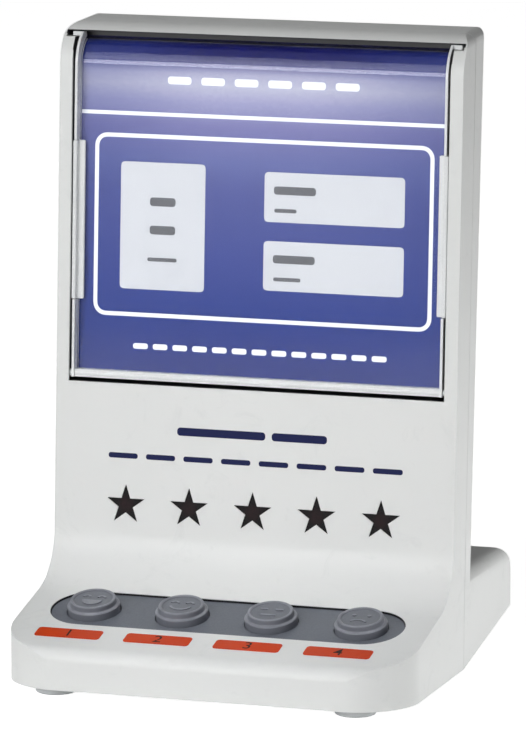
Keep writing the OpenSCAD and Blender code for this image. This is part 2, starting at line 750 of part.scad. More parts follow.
// Arc line of radius r and width t about the origin, from angle a to b.
module arc_line(r, t, a, b) {
    difference() {
        intersection() {
            circle(r + t / 2);
            polygon(concat([[0, 0]], [for (i = [0 : 6]) 2 * r * [cos(a + (b - a) * i / 6),
                                                                sin(a + (b - a) * i / 6)]]));
        }
        circle(r - t / 2);
    }
}
relief_line = 0.9;
eye_x = 3;
eye_y = 1.9;
module arc_eyes() {
    for (sx = [-1, 1]) translate([sx * eye_x, eye_y - 0.6]) arc_line(1.5, relief_line, 15, 165);
}
module laugh_button() {
    color(pad_color) on_deck() translate([button_x[0], 0, 0]) {
        button_body();
        relief() arc_eyes();
        relief() intersection() {
            translate([0, -0.9]) circle(4);
            translate([-5, -6]) square([10, 5.1]);
        }
    }
}
module smile_button() {
    color(pad_color) on_deck() translate([button_x[1], 0, 0]) {
        button_body();
        relief() arc_eyes();
        relief() translate([0, 0.6]) arc_line(4.4, relief_line, 205, 335);
    }
}
module calm_button() {
    color(pad_color) on_deck() translate([button_x[2], 0, 0]) {
        button_body();
        relief() for (sx = [-1, 1]) translate([sx * eye_x, eye_y])
            square([3, relief_line], center = true);
        relief() translate([0, -2.9]) square([6, relief_line], center = true);
    }
}
module frown_button() {
    color(pad_color) on_deck() translate([button_x[3], 0, 0]) {
        button_body();
        relief() for (sx = [-1, 1]) translate([sx * eye_x, eye_y]) circle(d = 1.6);
        relief() translate([0, -5.6]) arc_line(3.6, relief_line, 35, 145);
    }
}
module contact(i) {
    color(black_color) on_deck(0, -button_bottom - pill_h) translate([button_x[i], 0, 0])
        cylinder(h = pill_h, d = pill_d);
}
module laugh_contact() { contact(0); }
module smile_contact() { contact(1); }
module calm_contact() { contact(2); }
module frown_contact() { contact(3); }
module keypad_mat() {
    color(pad_color) on_deck(0, -board_z) difference() {
        linear_extrude(mat_t) round_rect(slot_l - 12, slot_w, 4);
        for (x = button_x) translate([x, 0, -1]) cylinder(h = mat_t + 2, d = pill_d + 5);
        for (x = bezel_post_x) translate([x, 0, -1])
            cylinder(h = mat_t + 2, d = bezel_post_d + 0.6);
    }
}
module keypad_board() {
    color(board_color) difference() {
        on_deck(0, -board_z - board_t) linear_extrude(board_t)
            round_rect(pad_board[0], pad_board[1], 2);
        for (p = deck_boss_spots) on_deck(p[1], -board_z - board_t - 1)
            translate([p[0], 0, 0]) cylinder(h = board_t + 2, d = small_passing_d);
    }
}
module keypad_board_screws() {
    color(steel_color) for (p = deck_boss_spots) on_deck(p[1], -board_z - board_t)
        translate([p[0], 0, 0]) small_screw(board_t + small_grip);
}
module button_labels() {
    color([0.85, 0.33, 0.13]) for (x = button_x) on_deck(-label_fwd)
        translate([x + label_shift, 0, 0]) linear_extrude(label_t)
        round_rect(label_l, label_w, 1.5);
}

// ---- main board, on posts on the inside of the back ----
main_z = wall + post_h;
main_mid = main_bottom + main_h / 2;
main_spots = [for (sx = [-1, 1], sy = [-1, 1])
    [sx * (main_w / 2 - 4), main_mid + sy * (main_h / 2 - 4)]];
module main_posts() {
    for (p = main_spots) on_back(p[1], 1) translate([p[0], 0, 0])
        cylinder(h = main_z - 1, d = 5.5);
}
module main_board() {
    color(board_color) difference() {
        on_back(main_mid, main_z) translate([0, 0, board_t / 2])
            cube([main_w, main_h, board_t], center = true);
        for (p = main_spots) on_back(p[1], main_z - 1) translate([p[0], 0, 0])
            cylinder(h = board_t + 2, d = small_passing_d);
    }
}
// Chips, each as its place on the board and its size.
processor = [[-18, 8], [14, 14, 1.6]];
sound_chip = [[12, 12], [8, 16, 2]];
link_chip = [[30, -4], [10, 6, 1.8]];
can_d = 6;
can_h = 5.4;
can_x = main_w / 2 - 10;
can_up = main_h / 2 - 16;
module main_chips() {
    color(black_color) for (c = [processor, sound_chip, link_chip])
        on_back(main_mid + c[0][1], main_z + board_t) translate([c[0][0], 0, c[1][2] / 2])
        cube(c[1], center = true);
}
module main_capacitors() {
    color([0.2, 0.25, 0.4]) for (sx = [-1, 1]) on_back(main_mid + can_up, main_z + board_t)
        translate([sx * can_x, 0, 0]) cylinder(h = can_h, d = can_d);
}
module main_board_screws() {
    color(steel_color) for (p = main_spots) on_back(p[1], main_z + board_t)
        translate([p[0], 0, 0]) rotate([180, 0, 0]) small_screw(board_t + small_grip);
}

// ---- speaker, facing out through the grille in the back ----
speaker_angles = [30, 150, 270];
speaker_screw_r = speaker_d / 2 + 2.4;
speaker_rim_t = 1.5;
speaker_rim_w = 3;
basket_h = 6;
magnet_h = 11;
magnet_r = speaker_d * 0.31;
speaker_screw_l = 2.3;
speaker_head_d = 6;
module speaker_seat() {
    on_back(speaker_h, 1) difference() {
        union() {
            cylinder(h = wall + speaker_rim_t - 1 - fit_gap, d = speaker_d + 5);
            for (a = speaker_angles) rotate(a) translate([speaker_screw_r, 0, 0])
                cylinder(h = wall + speaker_rim_t - 1, d = small_boss_d);
        }
        translate([0, 0, -1]) cylinder(h = wall + 4, d = speaker_d + 2 * fit_gap);
    }
}
module speaker() {
    r = speaker_d / 2;
    color(black_color) on_back(speaker_h, wall) rotate_extrude($fn = 72) polygon([
        [0, speaker_rim_t + 0.1], [r * 0.3, 2.2], [r - speaker_rim_w - 0.5, 0.8],
        [r - speaker_rim_w, 0], [r, 0], [r, speaker_rim_t], [r - 1.5, speaker_rim_t],
        [magnet_r, basket_h], [magnet_r, magnet_h], [0, magnet_h]]);
}
module speaker_screws() {
    color(steel_color) for (a = speaker_angles) on_back(speaker_h, wall + speaker_rim_t) rotate(a)
        translate([speaker_screw_r, 0, 0]) rotate([180, 0, 0])
        screw(speaker_screw_l, small_d, speaker_head_d, small_head_h);
}
module sound_grille() {
    rings = floor((speaker_d / 2 - 4) / grille_pitch);
    on_back(speaker_h, -2) {
        cylinder(h = wall + 4, d = grille_d);
        for (k = [1 : rings], i = [0 : 6 * k - 1]) rotate(60 * i / k)
            translate([k * grille_pitch, 0, 0]) cylinder(h = wall + 4, d = grille_d);
    }
}

// ---- data socket in the tail's end wall ----
socket = [12, 15, 10.8];
socket_z = zb + socket_h + board_t;
socket_front = rear_y - 5.2;
socket_board_size = [24, 26];
socket_board_back = socket_front - 3;
module socket_hole() {
    translate([socket_x - socket[0] / 2 - fit_gap, socket_front - socket[1],
               socket_z - fit_gap])
        cube([socket[0] + 2 * fit_gap, socket[1] + 30, socket[2] + 2 * fit_gap]);
}
module data_socket() {
    color(steel_color) translate([socket_x - socket[0] / 2, socket_front - socket[1], socket_z])
        difference() {
            cube(socket);
            translate([1.2, socket[1] - 9, 1.2]) difference() {
                cube([socket[0] - 2.4, 10, socket[2] - 2.4]);
                translate([2.2, -1, 2.4]) cube([socket[0] - 6.8, 9, socket[2] - 7.2]);
            }
        }
}
module socket_board() {
    color(board_color) translate([socket_x - socket_board_size[0] / 2,
                                  socket_board_back - socket_board_size[1], zb + socket_h])
        cube([socket_board_size[0], socket_board_size[1], board_t]);
}
module socket_ledges() {
    for (sx = [-1, 1]) translate([socket_x + sx * (socket_board_size[0] / 2 - 1.5),
                                  socket_board_back - socket_board_size[1] / 2,
                                  zb + socket_h / 2])
        cube([3, socket_board_size[1], socket_h], center = true);
}

// ---- flat cables: a thin band that follows a path in side view ----
band_t = 0.6;
function band_pts(p, t) =
    let (n = len(p),
         side = [for (i = [0 : n - 1])
            let (u = unit(p[min(i + 1, n - 1)] - p[i == n - 1 ? n - 2 : i]),
                 v = unit(p[max(i, 1)] - p[max(i, 1) - 1]), w = unit(u + v))
            [-w[1], w[0]] * t / 2 / (w * v)])
    concat([for (i = [0 : n - 1]) p[i] + side[i]], [for (i = [n - 1 : -1 : 0]) p[i] - side[i]]);
module band(path, w, x) { side_solid(band_pts(path, band_t), w, x); }
cable_color = [0.8, 0.8, 0.78];
plug_h = 3;
low_plug_h = 2.6;
main_plug_z = main_z + board_t;
band_z = main_plug_z + plug_h / 2;
main_plug_s = main_bottom + 3.2;
// Plugs at the board's lower corners, and the runs of cable before its bends.
lamp_plug_in = 18;
socket_plug_in = 10.5;
short_run = 8;
mid_run = 14;
long_run = 24;
lamp_cable_x = main_w / 2 - lamp_plug_in;
keypad_cable_x = -14;
socket_cable_x = socket_plug_in - main_w / 2;
speaker_cable_x = 8;
lamp_plug_z = -lamp_board_z - board_t - low_plug_h / 2;
pad_plug_z = -board_z - board_t - low_plug_h / 2;
plug_low = star_h - lens_h / 2 + 1;
module plug(w, h = plug_h) { cube([w, 4, h], center = true); }
module board_connectors() {
    color([0.9, 0.88, 0.8]) {
        for (c = [[lamp_cable_x, 12], [keypad_cable_x, 12], [socket_cable_x, 8]])
            on_back(main_plug_s + 1, band_z) translate([c[0], 0, 0]) plug(c[1]);
        on_back(main_bottom + main_h - 4.2, band_z) translate([speaker_cable_x, 0, 0]) plug(6);
        on_face(plug_low + 2, lamp_plug_z) translate([lamp_cable_x, 0, 0]) plug(12, low_plug_h);
        on_deck(pad_board[1] / 2 - 3, pad_plug_z)
            translate([keypad_cable_x, 0, 0]) plug(12, low_plug_h);
        translate([socket_cable_x, socket_board_back - socket_board_size[1] + 2.5,
                   socket_z + low_plug_h / 2]) plug(8, low_plug_h);
    }
}
module lamp_cable() {
    color(cable_color) band([face_pt(plug_low, lamp_plug_z),
        face_pt(plug_low - 7, lamp_plug_z), face_pt(plug_low - 11, lamp_plug_z - 2.5),
        back_pt(main_plug_s - mid_run, band_z + 1.5), back_pt(main_plug_s - short_run, band_z),
        back_pt(main_plug_s - 1, band_z)], 10, lamp_cable_x);
}
module keypad_cable() {
    y = pad_board[1] / 2 - 1;
    color(cable_color) band([deck_pt(y, pad_plug_z), deck_pt(y + mid_run, pad_plug_z),
        back_pt(main_plug_s - long_run, band_z + 6), back_pt(main_plug_s - mid_run, band_z),
        back_pt(main_plug_s - 1, band_z)], 10, keypad_cable_x);
}
module socket_cable() {
    y = socket_board_back - socket_board_size[1] + 0.5;
    z = socket_z + low_plug_h / 2;
    color(cable_color) band([[y, z], [y - short_run, z], back_pt(main_plug_s - 20, band_z - 4),
        back_pt(main_plug_s - 12, band_z), back_pt(main_plug_s - 1, band_z)],
        7, socket_cable_x);
}
module speaker_cable() {
    can = speaker_h - magnet_r;
    lead_z = wall + magnet_h - 1.5;
    color(cable_color) band([back_pt(main_bottom + main_h - 2.2, band_z),
        back_pt(main_bottom + main_h + 6, band_z),
        back_pt(can - 6, lead_z), back_pt(can, lead_z)], 3, speaker_cable_x);
}

module rear_shell_screws() {
    color(steel_color) at_rear_screws() translate([0, 0, -head_seat]) screw(rear_screw_l);
}
module bottom_plate_screws() {
    color(steel_color) for (p = plate_spots) translate([p[0], p[1], zb + cup_h - cup_seat_t])
        screw(plate_screw_l - cup_h + cup_seat_t);
}
module foot() {
    rotate_extrude($fn = 64) polygon([[0, 0], [foot_d / 2 - 0.9, 0], [foot_d / 2 - 0.3, 0.3],
        [foot_d / 2, 0.9], [foot_d / 2, foot_h], [0, foot_h]]);
}
module rubber_feet() {
    color([0.85, 0.86, 0.86]) for (sx = [-1, 1]) {
        translate([sx * front_foot_x, front_y + front_foot_back, 0]) foot();
        translate([sx * rear_foot_x, rear_y - rear_foot_in, 0]) foot();
    }
}

front_shell();
rear_shell();
bottom_plate();
card_carrier();
clear_sheet();
info_card();
left_card_clip();
right_card_clip();
star_lens();
light_baffle();
lamp_board();
star_leds();
lamp_board_screws();
keypad_bezel();
laugh_button();
smile_button();
calm_button();
frown_button();
laugh_contact();
smile_contact();
calm_contact();
frown_contact();
keypad_mat();
keypad_board();
keypad_board_screws();
button_labels();
main_board();
main_chips();
main_capacitors();
board_connectors();
main_board_screws();
speaker();
speaker_screws();
data_socket();
socket_board();
lamp_cable();
keypad_cable();
socket_cable();
speaker_cable();
rear_shell_screws();
bottom_plate_screws();
rubber_feet();
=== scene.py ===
import bpy
import bmesh
from math import radians, sin, cos, tan
from mathutils import Matrix, Vector


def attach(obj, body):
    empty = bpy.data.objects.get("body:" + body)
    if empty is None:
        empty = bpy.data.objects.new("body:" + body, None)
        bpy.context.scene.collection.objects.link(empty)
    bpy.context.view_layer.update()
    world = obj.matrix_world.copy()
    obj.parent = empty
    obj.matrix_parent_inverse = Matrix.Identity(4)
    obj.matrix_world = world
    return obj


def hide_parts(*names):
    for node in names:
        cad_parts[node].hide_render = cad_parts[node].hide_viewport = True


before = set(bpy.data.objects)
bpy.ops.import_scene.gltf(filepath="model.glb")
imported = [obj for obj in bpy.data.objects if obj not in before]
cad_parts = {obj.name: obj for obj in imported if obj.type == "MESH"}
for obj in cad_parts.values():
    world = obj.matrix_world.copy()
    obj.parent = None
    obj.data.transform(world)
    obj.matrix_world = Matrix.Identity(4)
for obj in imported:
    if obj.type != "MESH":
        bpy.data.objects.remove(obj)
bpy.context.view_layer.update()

print("frame loaded:", len(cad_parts), "nodes")

# Places on the housing, in millimetres, the same as the CAD source uses.
housing = {
    "faceFoot": (0, -10.7, 3),  # foot of the upright's front face
    "faceLean": 3,
    "deckMiddle": (0, -38.8, 18.4 + 37.7 * tan(radians(13.7))),  # middle of the button deck
    "deckSlope": 13.7,
}


def placed(foot, turn):
    return Matrix.Scale(0.001, 4) @ Matrix.Translation(Vector(foot)) @ Matrix.Rotation(radians(turn), 4, "X")


onFace = placed(housing["faceFoot"], 90 - housing["faceLean"])  # across, up the face, out of it
onDeck = placed(housing["deckMiddle"], housing["deckSlope"])    # across, back up the deck, out of it


def addNode(tree, kind, settings=None, values=None):
    node = tree.nodes.new(kind)
    for key, value in (settings or {}).items():
        setattr(node, key, value)
    for key, value in (values or {}).items():
        node.inputs[key].default_value = value
    return node


def startGroup(name, inputs, outputs):
    tree = bpy.data.node_groups.new(name, "ShaderNodeTree")
    for label, kind, value in inputs:
        socket = tree.interface.new_socket(name=label, in_out="INPUT", socket_type=kind)
        if value is not None:
            socket.default_value = value
    for label, kind in outputs:
        tree.interface.new_socket(name=label, in_out="OUTPUT", socket_type=kind)
    return tree, tree.nodes.new("NodeGroupInput"), tree.nodes.new("NodeGroupOutput")


def mouldedSurfaceGroup():
    # The fine texture of a moulding, its slow unevenness, and the faint marks of handling.
    tree, given, result = startGroup(
        "mouldedSurface",
        [("Vector", "NodeSocketVector", None), ("Grain Scale", "NodeSocketFloat", 1800.0),
         ("Patch Scale", "NodeSocketFloat", 28.0)],
        [("Grain", "NodeSocketFloat"), ("Patch", "NodeSocketFloat"), ("Marks", "NodeSocketFloat")])
    link = tree.links.new
    grain = addNode(tree, "ShaderNodeTexNoise", values={"Detail": 2.0, "Roughness": 0.6})
    patch = addNode(tree, "ShaderNodeTexNoise", values={"Detail": 4.0, "Roughness": 0.55})
    marks = addNode(tree, "ShaderNodeTexNoise",
                    values={"Scale": 60.0, "Detail": 8.0, "Roughness": 0.72, "Distortion": 1.4})
    sift = addNode(tree, "ShaderNodeMapRange", values={"From Min": 0.56, "From Max": 0.72})
    for node in (grain, patch, marks):
        link(given.outputs["Vector"], node.inputs["Vector"])
    link(given.outputs["Grain Scale"], grain.inputs["Scale"])
    link(given.outputs["Patch Scale"], patch.inputs["Scale"])
    link(marks.outputs["Fac"], sift.inputs["Value"])
    link(grain.outputs["Fac"], result.inputs["Grain"])
    link(patch.outputs["Fac"], result.inputs["Patch"])
    link(sift.outputs["Result"], result.inputs["Marks"])
    return tree


mouldedSurface = mouldedSurfaceGroup()


def startMaterial(name):
    material = bpy.data.materials.new(name)
    material.use_nodes = True
    tree = material.node_tree
    tree.nodes.clear()
    output = tree.nodes.new("ShaderNodeOutputMaterial")
    shader = tree.nodes.new("ShaderNodeBsdfPrincipled")
    place = tree.nodes.new("ShaderNodeTexCoord")
    tree.links.new(shader.outputs["BSDF"], output.inputs["Surface"])
    return material, tree, shader, place


def mixColour(tree, factor, first, second):
    mix = addNode(tree, "ShaderNodeMix", {"data_type": "RGBA"})
    tree.links.new(factor, mix.inputs[0])
    for socket, colour in ((mix.inputs[6], first), (mix.inputs[7], second)):
        if isinstance(colour, tuple):
            socket.default_value = (*colour, 1)
        else:
            tree.links.new(colour, socket)
    return mix.outputs[2]


def rangeStep(tree, value, start, paintedEndShade, low=0.0, high=1.0):
    step = addNode(tree, "ShaderNodeMapRange",
                   values={"From Min": start, "From Max": paintedEndShade, "To Min": low, "To Max": high})
    tree.links.new(value, step.inputs["Value"])
    return step.outputs["Result"]


def product(tree, first, second):
    times = addNode(tree, "ShaderNodeMath", {"operation": "MULTIPLY"})
    tree.links.new(first, times.inputs[0])
    tree.links.new(second, times.inputs[1])
    return times.outputs["Value"]


def addBump(tree, shader, height, depth):
    bump = addNode(tree, "ShaderNodeBump", values={"Strength": 1.0, "Distance": depth})
    tree.links.new(height, bump.inputs["Height"])
    tree.links.new(bump.outputs["Normal"], shader.inputs["Normal"])


def fillRamp(ramp, stops):
    # The stops are (position, colour), and the first one is at 0.
    elements = ramp.color_ramp.elements
    while len(elements) > 1:
        elements.remove(elements[-1])
    elements[0].position, elements[0].color = stops[0][0], (*stops[0][1], 1)
    for position, colour in stops[1:]:
        elements.new(position).color = (*colour, 1)


def recessShadeGroup(name, foot, lean):
    # Puts out 1 inside a recess of the surface at foot: between two depths behind it and two distances
    # up it, and within a half width.
    # This mask says where shade is painted into a surface's colour.
    tree, given, result = startGroup(
        name,
        [("Vector", "NodeSocketVector", None)]
        + [(label, "NodeSocketFloat", 0.0) for label in ("Low", "High", "Near", "Far", "Half Width")],
        [("Shade", "NodeSocketFloat")])
    link = tree.links.new
    lean, foot = radians(lean), Vector(foot) / 1000
    inward, upward = Vector((0, cos(lean), -sin(lean))), Vector((0, sin(lean), cos(lean)))
    shade = None
    across = Vector((1, 0, 0))
    for axis, low, high in ((inward, "Near", "Far"), (upward, "Low", "High"), (across, None, "Half Width")):
        along = addNode(tree, "ShaderNodeVectorMath", {"operation": "DOT_PRODUCT"}, {1: axis})
        place = addNode(tree, "ShaderNodeMath", {"operation": "SUBTRACT"}, {1: axis.dot(foot)})
        link(given.outputs["Vector"], along.inputs[0])
        link(along.outputs["Value"], place.inputs[0])
        if low is None:
            folded = addNode(tree, "ShaderNodeMath", {"operation": "ABSOLUTE"})
            link(place.outputs["Value"], folded.inputs[0])
            place = folded
        for label, operation in ((low, "GREATER_THAN"), (high, "LESS_THAN")):
            if label:
                test = addNode(tree, "ShaderNodeMath", {"operation": operation})
                link(place.outputs["Value"], test.inputs[0])
                link(given.outputs[label], test.inputs[1])
                shade = product(tree, shade, test.outputs["Value"]) if shade else test.outputs["Value"]
    link(shade, result.inputs["Shade"])
    return tree


faceRecessShade = recessShadeGroup("faceRecessShade", housing["faceFoot"], housing["faceLean"])
deckRecessShade = recessShadeGroup("deckRecessShade", housing["deckMiddle"], 90 - housing["deckSlope"])


def recessMask(tree, place, recess):
    # Where a piece lies in the recess, whose sizes are in millimetres: the mask of the painted shade there.
    mask = addNode(tree, "ShaderNodeGroup", {"node_tree": recess["surface"]},
                   {label: size / 1000 for label, size in recess["sizes"].items()})
    tree.links.new(place.outputs["Object"], mask.inputs["Vector"])
    return mask.outputs["Shade"]


def wornEdges(tree, place, surface, tone, finish):
    # Paler rims, painted highlight with some wear where fingers rub: bands of height over the deck in
    # millimetres, broken up by the slow patches.
    link = tree.links.new
    slope, middle = radians(housing["deckSlope"]), Vector(housing["deckMiddle"]) / 1000
    normal = Vector((0, -sin(slope), cos(slope)))
    over = addNode(tree, "ShaderNodeVectorMath", {"operation": "DOT_PRODUCT"}, {1: normal})
    height = addNode(tree, "ShaderNodeMath", {"operation": "SUBTRACT"}, {1: normal.dot(middle)})
    link(place.outputs["Object"], over.inputs[0])
    link(over.outputs["Value"], height.inputs[0])
    blur = 0.08
    for low, high in finish["bands"]:
        rise = rangeStep(tree, height.outputs["Value"], (low - blur) / 1000, (low + blur) / 1000)
        fall = rangeStep(tree, height.outputs["Value"], (high + blur) / 1000, (high - blur) / 1000)
        rough = rangeStep(tree, surface.outputs["Patch"], 0.3, 0.62, 0.25, finish["most"])
        sheenAndWear = product(tree, product(tree, rise, fall), rough)
        tone = mixColour(tree, sheenAndWear, tone, finish["colour"])
    return tone


def mouldedPlastic(name, finish):
    # Plastic or rubber: slow tone change, fine grain in the gloss and relief, faint handling marks, and where
    # asked painted shade in recesses and pale rims of painted highlight and wear.
    material, tree, shader, place = startMaterial(name)
    link = tree.links.new
    surface = addNode(tree, "ShaderNodeGroup", {"node_tree": mouldedSurface},
                      {"Grain Scale": finish["grain"], "Patch Scale": finish.get("patch", 28.0)})
    link(place.outputs["Object"], surface.inputs["Vector"])
    tone = mixColour(tree, surface.outputs["Patch"], finish["colour"], finish["shade"])
    dulled = tuple(part * (1 - finish.get("marks", 0.04)) for part in finish["shade"])
    tone = mixColour(tree, surface.outputs["Marks"], tone, dulled)
    # Painted shade: the colour goes nearly black inside the recesses.
    for recess in finish.get("paintedShadeRecesses", ()):
        tone = mixColour(tree, recessMask(tree, place, recess), tone, finish["paintedShadeColour"])
    # Painted highlights, with some rubbing wear, make the rims paler.
    if "sheenAndWear" in finish:
        tone = wornEdges(tree, place, surface, tone, finish["sheenAndWear"])
    link(tone, shader.inputs["Base Color"])
    gloss = rangeStep(tree, surface.outputs["Grain"], 0.3, 0.7, *finish["gloss"])
    rubbed = addNode(tree, "ShaderNodeMath", {"operation": "MULTIPLY_ADD"}, {1: finish.get("rub", 0.06)})
    link(surface.outputs["Marks"], rubbed.inputs[0])
    link(gloss, rubbed.inputs[2])
    link(rubbed.outputs["Value"], shader.inputs["Roughness"])
    addBump(tree, shader, surface.outputs["Grain"], finish["depth"])
    shader.inputs["IOR"].default_value = 1.49
    shader.inputs["Specular IOR Level"].default_value = finish.get("specular", 0.5)
    shader.inputs["Coat Weight"].default_value = finish.get("coat", 0.0)
    shader.inputs["Coat Roughness"].default_value = 0.12
    return material


# Recesses that get painted shade, in millimetres: how far up the surface, how far behind it and how wide.
windowPaintedShade = {"surface": faceRecessShade, "sizes": {
    "Low": 106.9, "High": 243.65, "Near": 0.9, "Far": 15.4, "Half Width": 76.6}}
notchPaintedShade = {"surface": faceRecessShade, "sizes": {
    "Low": 241.3, "High": 243.65, "Near": 4.6, "Far": 15.4, "Half Width": 80.6}}
keypadSlotPaintedShade = {"surface": deckRecessShade, "sizes": {
    "Low": -15.4, "High": 15.4, "Near": 0.3, "Far": 2.4, "Half Width": 72}}
# The clear sheet's top end under the lip, where shade is painted dark.
sheetEndPaintedShade = {"surface": faceRecessShade, "sizes": {
    "Low": 239.9, "High": 250, "Near": 9.5, "Far": 30, "Half Width": 80}}

# The shell has painted shade, near black, inside the pocket behind the window, the notch and the keypad
# slot's walls.
shellPlastic = mouldedPlastic("shellPlastic", {
    "colour": (0.765, 0.775, 0.765), "shade": (0.735, 0.75, 0.742), "gloss": (0.34, 0.46),
    "grain": 1500.0, "depth": 0.00002, "patch": 18.0,
    "paintedShadeRecesses": [windowPaintedShade, notchPaintedShade, keypadSlotPaintedShade], "paintedShadeColour": (0.006, 0.006, 0.009)})
holderPlastic = mouldedPlastic("holderPlastic", {
    "colour": (0.80, 0.815, 0.82), "shade": (0.76, 0.78, 0.79), "gloss": (0.2, 0.3),
    "grain": 1200.0, "depth": 0.00001, "coat": 0.2})
bezelPlastic = mouldedPlastic("bezelPlastic", {
    "colour": (0.150, 0.162, 0.190), "shade": (0.128, 0.140, 0.168), "gloss": (0.42, 0.58),
    "grain": 1400.0, "depth": 0.00003, "marks": 0.1})
# The keys' rims get painted highlights, mixed with rubbing wear, in two bands of height.
keyPlastic = mouldedPlastic("keyPlastic", {
    "colour": (0.168, 0.178, 0.205), "shade": (0.138, 0.148, 0.176), "gloss": (0.36, 0.52),
    "grain": 1600.0, "depth": 0.00003, "patch": 160.0, "marks": -0.25, "rub": 0.1,
    "sheenAndWear": {"bands": [(3.82, 5.0), (1.45, 2.2)], "most": 0.8, "colour": (0.29, 0.30, 0.335)}})
labelFilm = mouldedPlastic("labelFilm", {
    "colour": (0.62, 0.055, 0.006), "shade": (0.54, 0.042, 0.004), "gloss": (0.3, 0.4),
    "grain": 900.0, "depth": 0.00001, "patch": 70.0, "specular": 0.12})
footRubber = mouldedPlastic("footRubber", {
    "colour": (0.62, 0.64, 0.65), "shade": (0.54, 0.56, 0.57), "gloss": (0.55, 0.72),
    "grain": 1300.0, "depth": 0.00005})
siliconeRubber = mouldedPlastic("siliconeRubber", {
    "colour": (0.17, 0.18, 0.20), "shade": (0.13, 0.14, 0.16), "gloss": (0.5, 0.65),
    "grain": 900.0, "depth": 0.00004})
carbonRubber = mouldedPlastic("carbonRubber", {
    "colour": (0.022, 0.022, 0.024), "shade": (0.015, 0.015, 0.016), "gloss": (0.6, 0.8),
    "grain": 2000.0, "depth": 0.00005})
innerBlack = mouldedPlastic("innerBlack", {
    "colour": (0.028, 0.028, 0.03), "shade": (0.018, 0.018, 0.02), "gloss": (0.4, 0.6),
    "grain": 1500.0, "depth": 0.00003})
plugPlastic = mouldedPlastic("plugPlastic", {
    "colour": (0.74, 0.70, 0.58), "shade": (0.68, 0.64, 0.52), "gloss": (0.4, 0.5),
    "grain": 1200.0, "depth": 0.00002})
canSleeve = mouldedPlastic("canSleeve", {
    "colour": (0.05, 0.08, 0.22), "shade": (0.035, 0.06, 0.17), "gloss": (0.22, 0.3),
    "grain": 800.0, "depth": 0.00001, "coat": 0.3})
whiteInk = mouldedPlastic("whiteInk", {
    "colour": (0.66, 0.68, 0.70), "shade": (0.63, 0.65, 0.68), "gloss": (0.4, 0.5),
    "grain": 900.0, "depth": 0.000003, "specular": 0.15})
fieldInk = mouldedPlastic("fieldInk", {
    "colour": (0.45, 0.46, 0.475), "shade": (0.43, 0.44, 0.46), "gloss": (0.4, 0.5),
    "grain": 900.0, "depth": 0.000003, "specular": 0.15})
greyInk = mouldedPlastic("greyInk", {
    "colour": (0.06, 0.062, 0.07), "shade": (0.045, 0.047, 0.055), "gloss": (0.4, 0.5),
    "grain": 900.0, "depth": 0.000003})
navyInk = mouldedPlastic("navyInk", {
    "colour": (0.012, 0.016, 0.075), "shade": (0.009, 0.012, 0.06), "gloss": (0.35, 0.45),
    "grain": 1200.0, "depth": 0.000004, "specular": 0.12})
digitInk = mouldedPlastic("digitInk", {
    "colour": (0.02, 0.006, 0.005), "shade": (0.015, 0.005, 0.004), "gloss": (0.35, 0.45),
    "grain": 1200.0, "depth": 0.000004, "specular": 0.12})


def cardBlueMaterial(finish):
    # Printed deep blue card with painted light: a painted reflection haze grows paler up the card, a painted
    # shadow turns it deep under the bend of the sheet, and painted shade darkens its sides.
    material, tree, shader, place = startMaterial("cardBlue")
    link = tree.links.new
    lean = radians(housing["faceLean"])
    upward = (0.0, sin(lean), cos(lean))
    along = addNode(tree, "ShaderNodeVectorMath", {"operation": "DOT_PRODUCT"}, {1: upward})
    ramp = addNode(tree, "ShaderNodeValToRGB")
    fillRamp(ramp, finish["stops"])
    split = addNode(tree, "ShaderNodeSeparateXYZ")
    aside = addNode(tree, "ShaderNodeMath", {"operation": "ABSOLUTE"})
    edge = addNode(tree, "ShaderNodeMapRange", {"interpolation_type": "SMOOTHSTEP"},
                   {"From Min": 0.015, "From Max": 0.078, "To Max": finish["edgeShade"]})
    fibre = addNode(tree, "ShaderNodeTexNoise", values={"Scale": 900.0, "Detail": 3.0})
    link(place.outputs["Object"], along.inputs[0])
    # The ramp up the card paints the reflection haze and the shadow under the bend over the print's deep
    # blue.
    link(rangeStep(tree, along.outputs["Value"], finish["low"], finish["high"]), ramp.inputs["Fac"])
    link(place.outputs["Object"], split.inputs["Vector"])
    link(split.outputs["X"], aside.inputs[0])
    link(aside.outputs["Value"], edge.inputs["Value"])
    link(place.outputs["Object"], fibre.inputs["Vector"])
    fleck = rangeStep(tree, fibre.outputs["Fac"], 0.3, 0.7, 0.0, 0.12)
    # Painted shade darkens the card towards its sides.
    printHazeAndShade = mixColour(tree, edge.outputs["Result"], ramp.outputs["Color"], finish["edgeShadeColour"])
    link(mixColour(tree, fleck, printHazeAndShade, (0.02, 0.03, 0.16)), shader.inputs["Base Color"])
    addBump(tree, shader, fibre.outputs["Fac"], 0.000004)
    shader.inputs["Roughness"].default_value = 0.6
    shader.inputs["Specular IOR Level"].default_value = 0.1
    return material


# Stops: the print's deep blue with painted reflection haze up the card and painted shadow at the bend;
# edgeShade is painted shade at the sides.
cardBlue = cardBlueMaterial({
    "low": 0.1181, "high": 0.2424, "edgeShade": 0.42, "edgeShadeColour": (0.012, 0.026, 0.142),
    "stops": [(0.0, (0.002, 0.013, 0.122)), (0.171, (0.01, 0.026, 0.155)), (0.356, (0.032, 0.046, 0.183)),
              (0.541, (0.055, 0.066, 0.2)), (0.635, (0.088, 0.102, 0.245)), (0.743, (0.135, 0.133, 0.275)),
              (0.821, (0.24, 0.24, 0.37)), (0.871, (0.36, 0.36, 0.44)), (0.905, (0.3, 0.3, 0.4)),
              (0.93, (0.12, 0.12, 0.23)), (0.955, (0.001, 0.001, 0.06)), (1.0, (0.001, 0.001, 0.06))]})


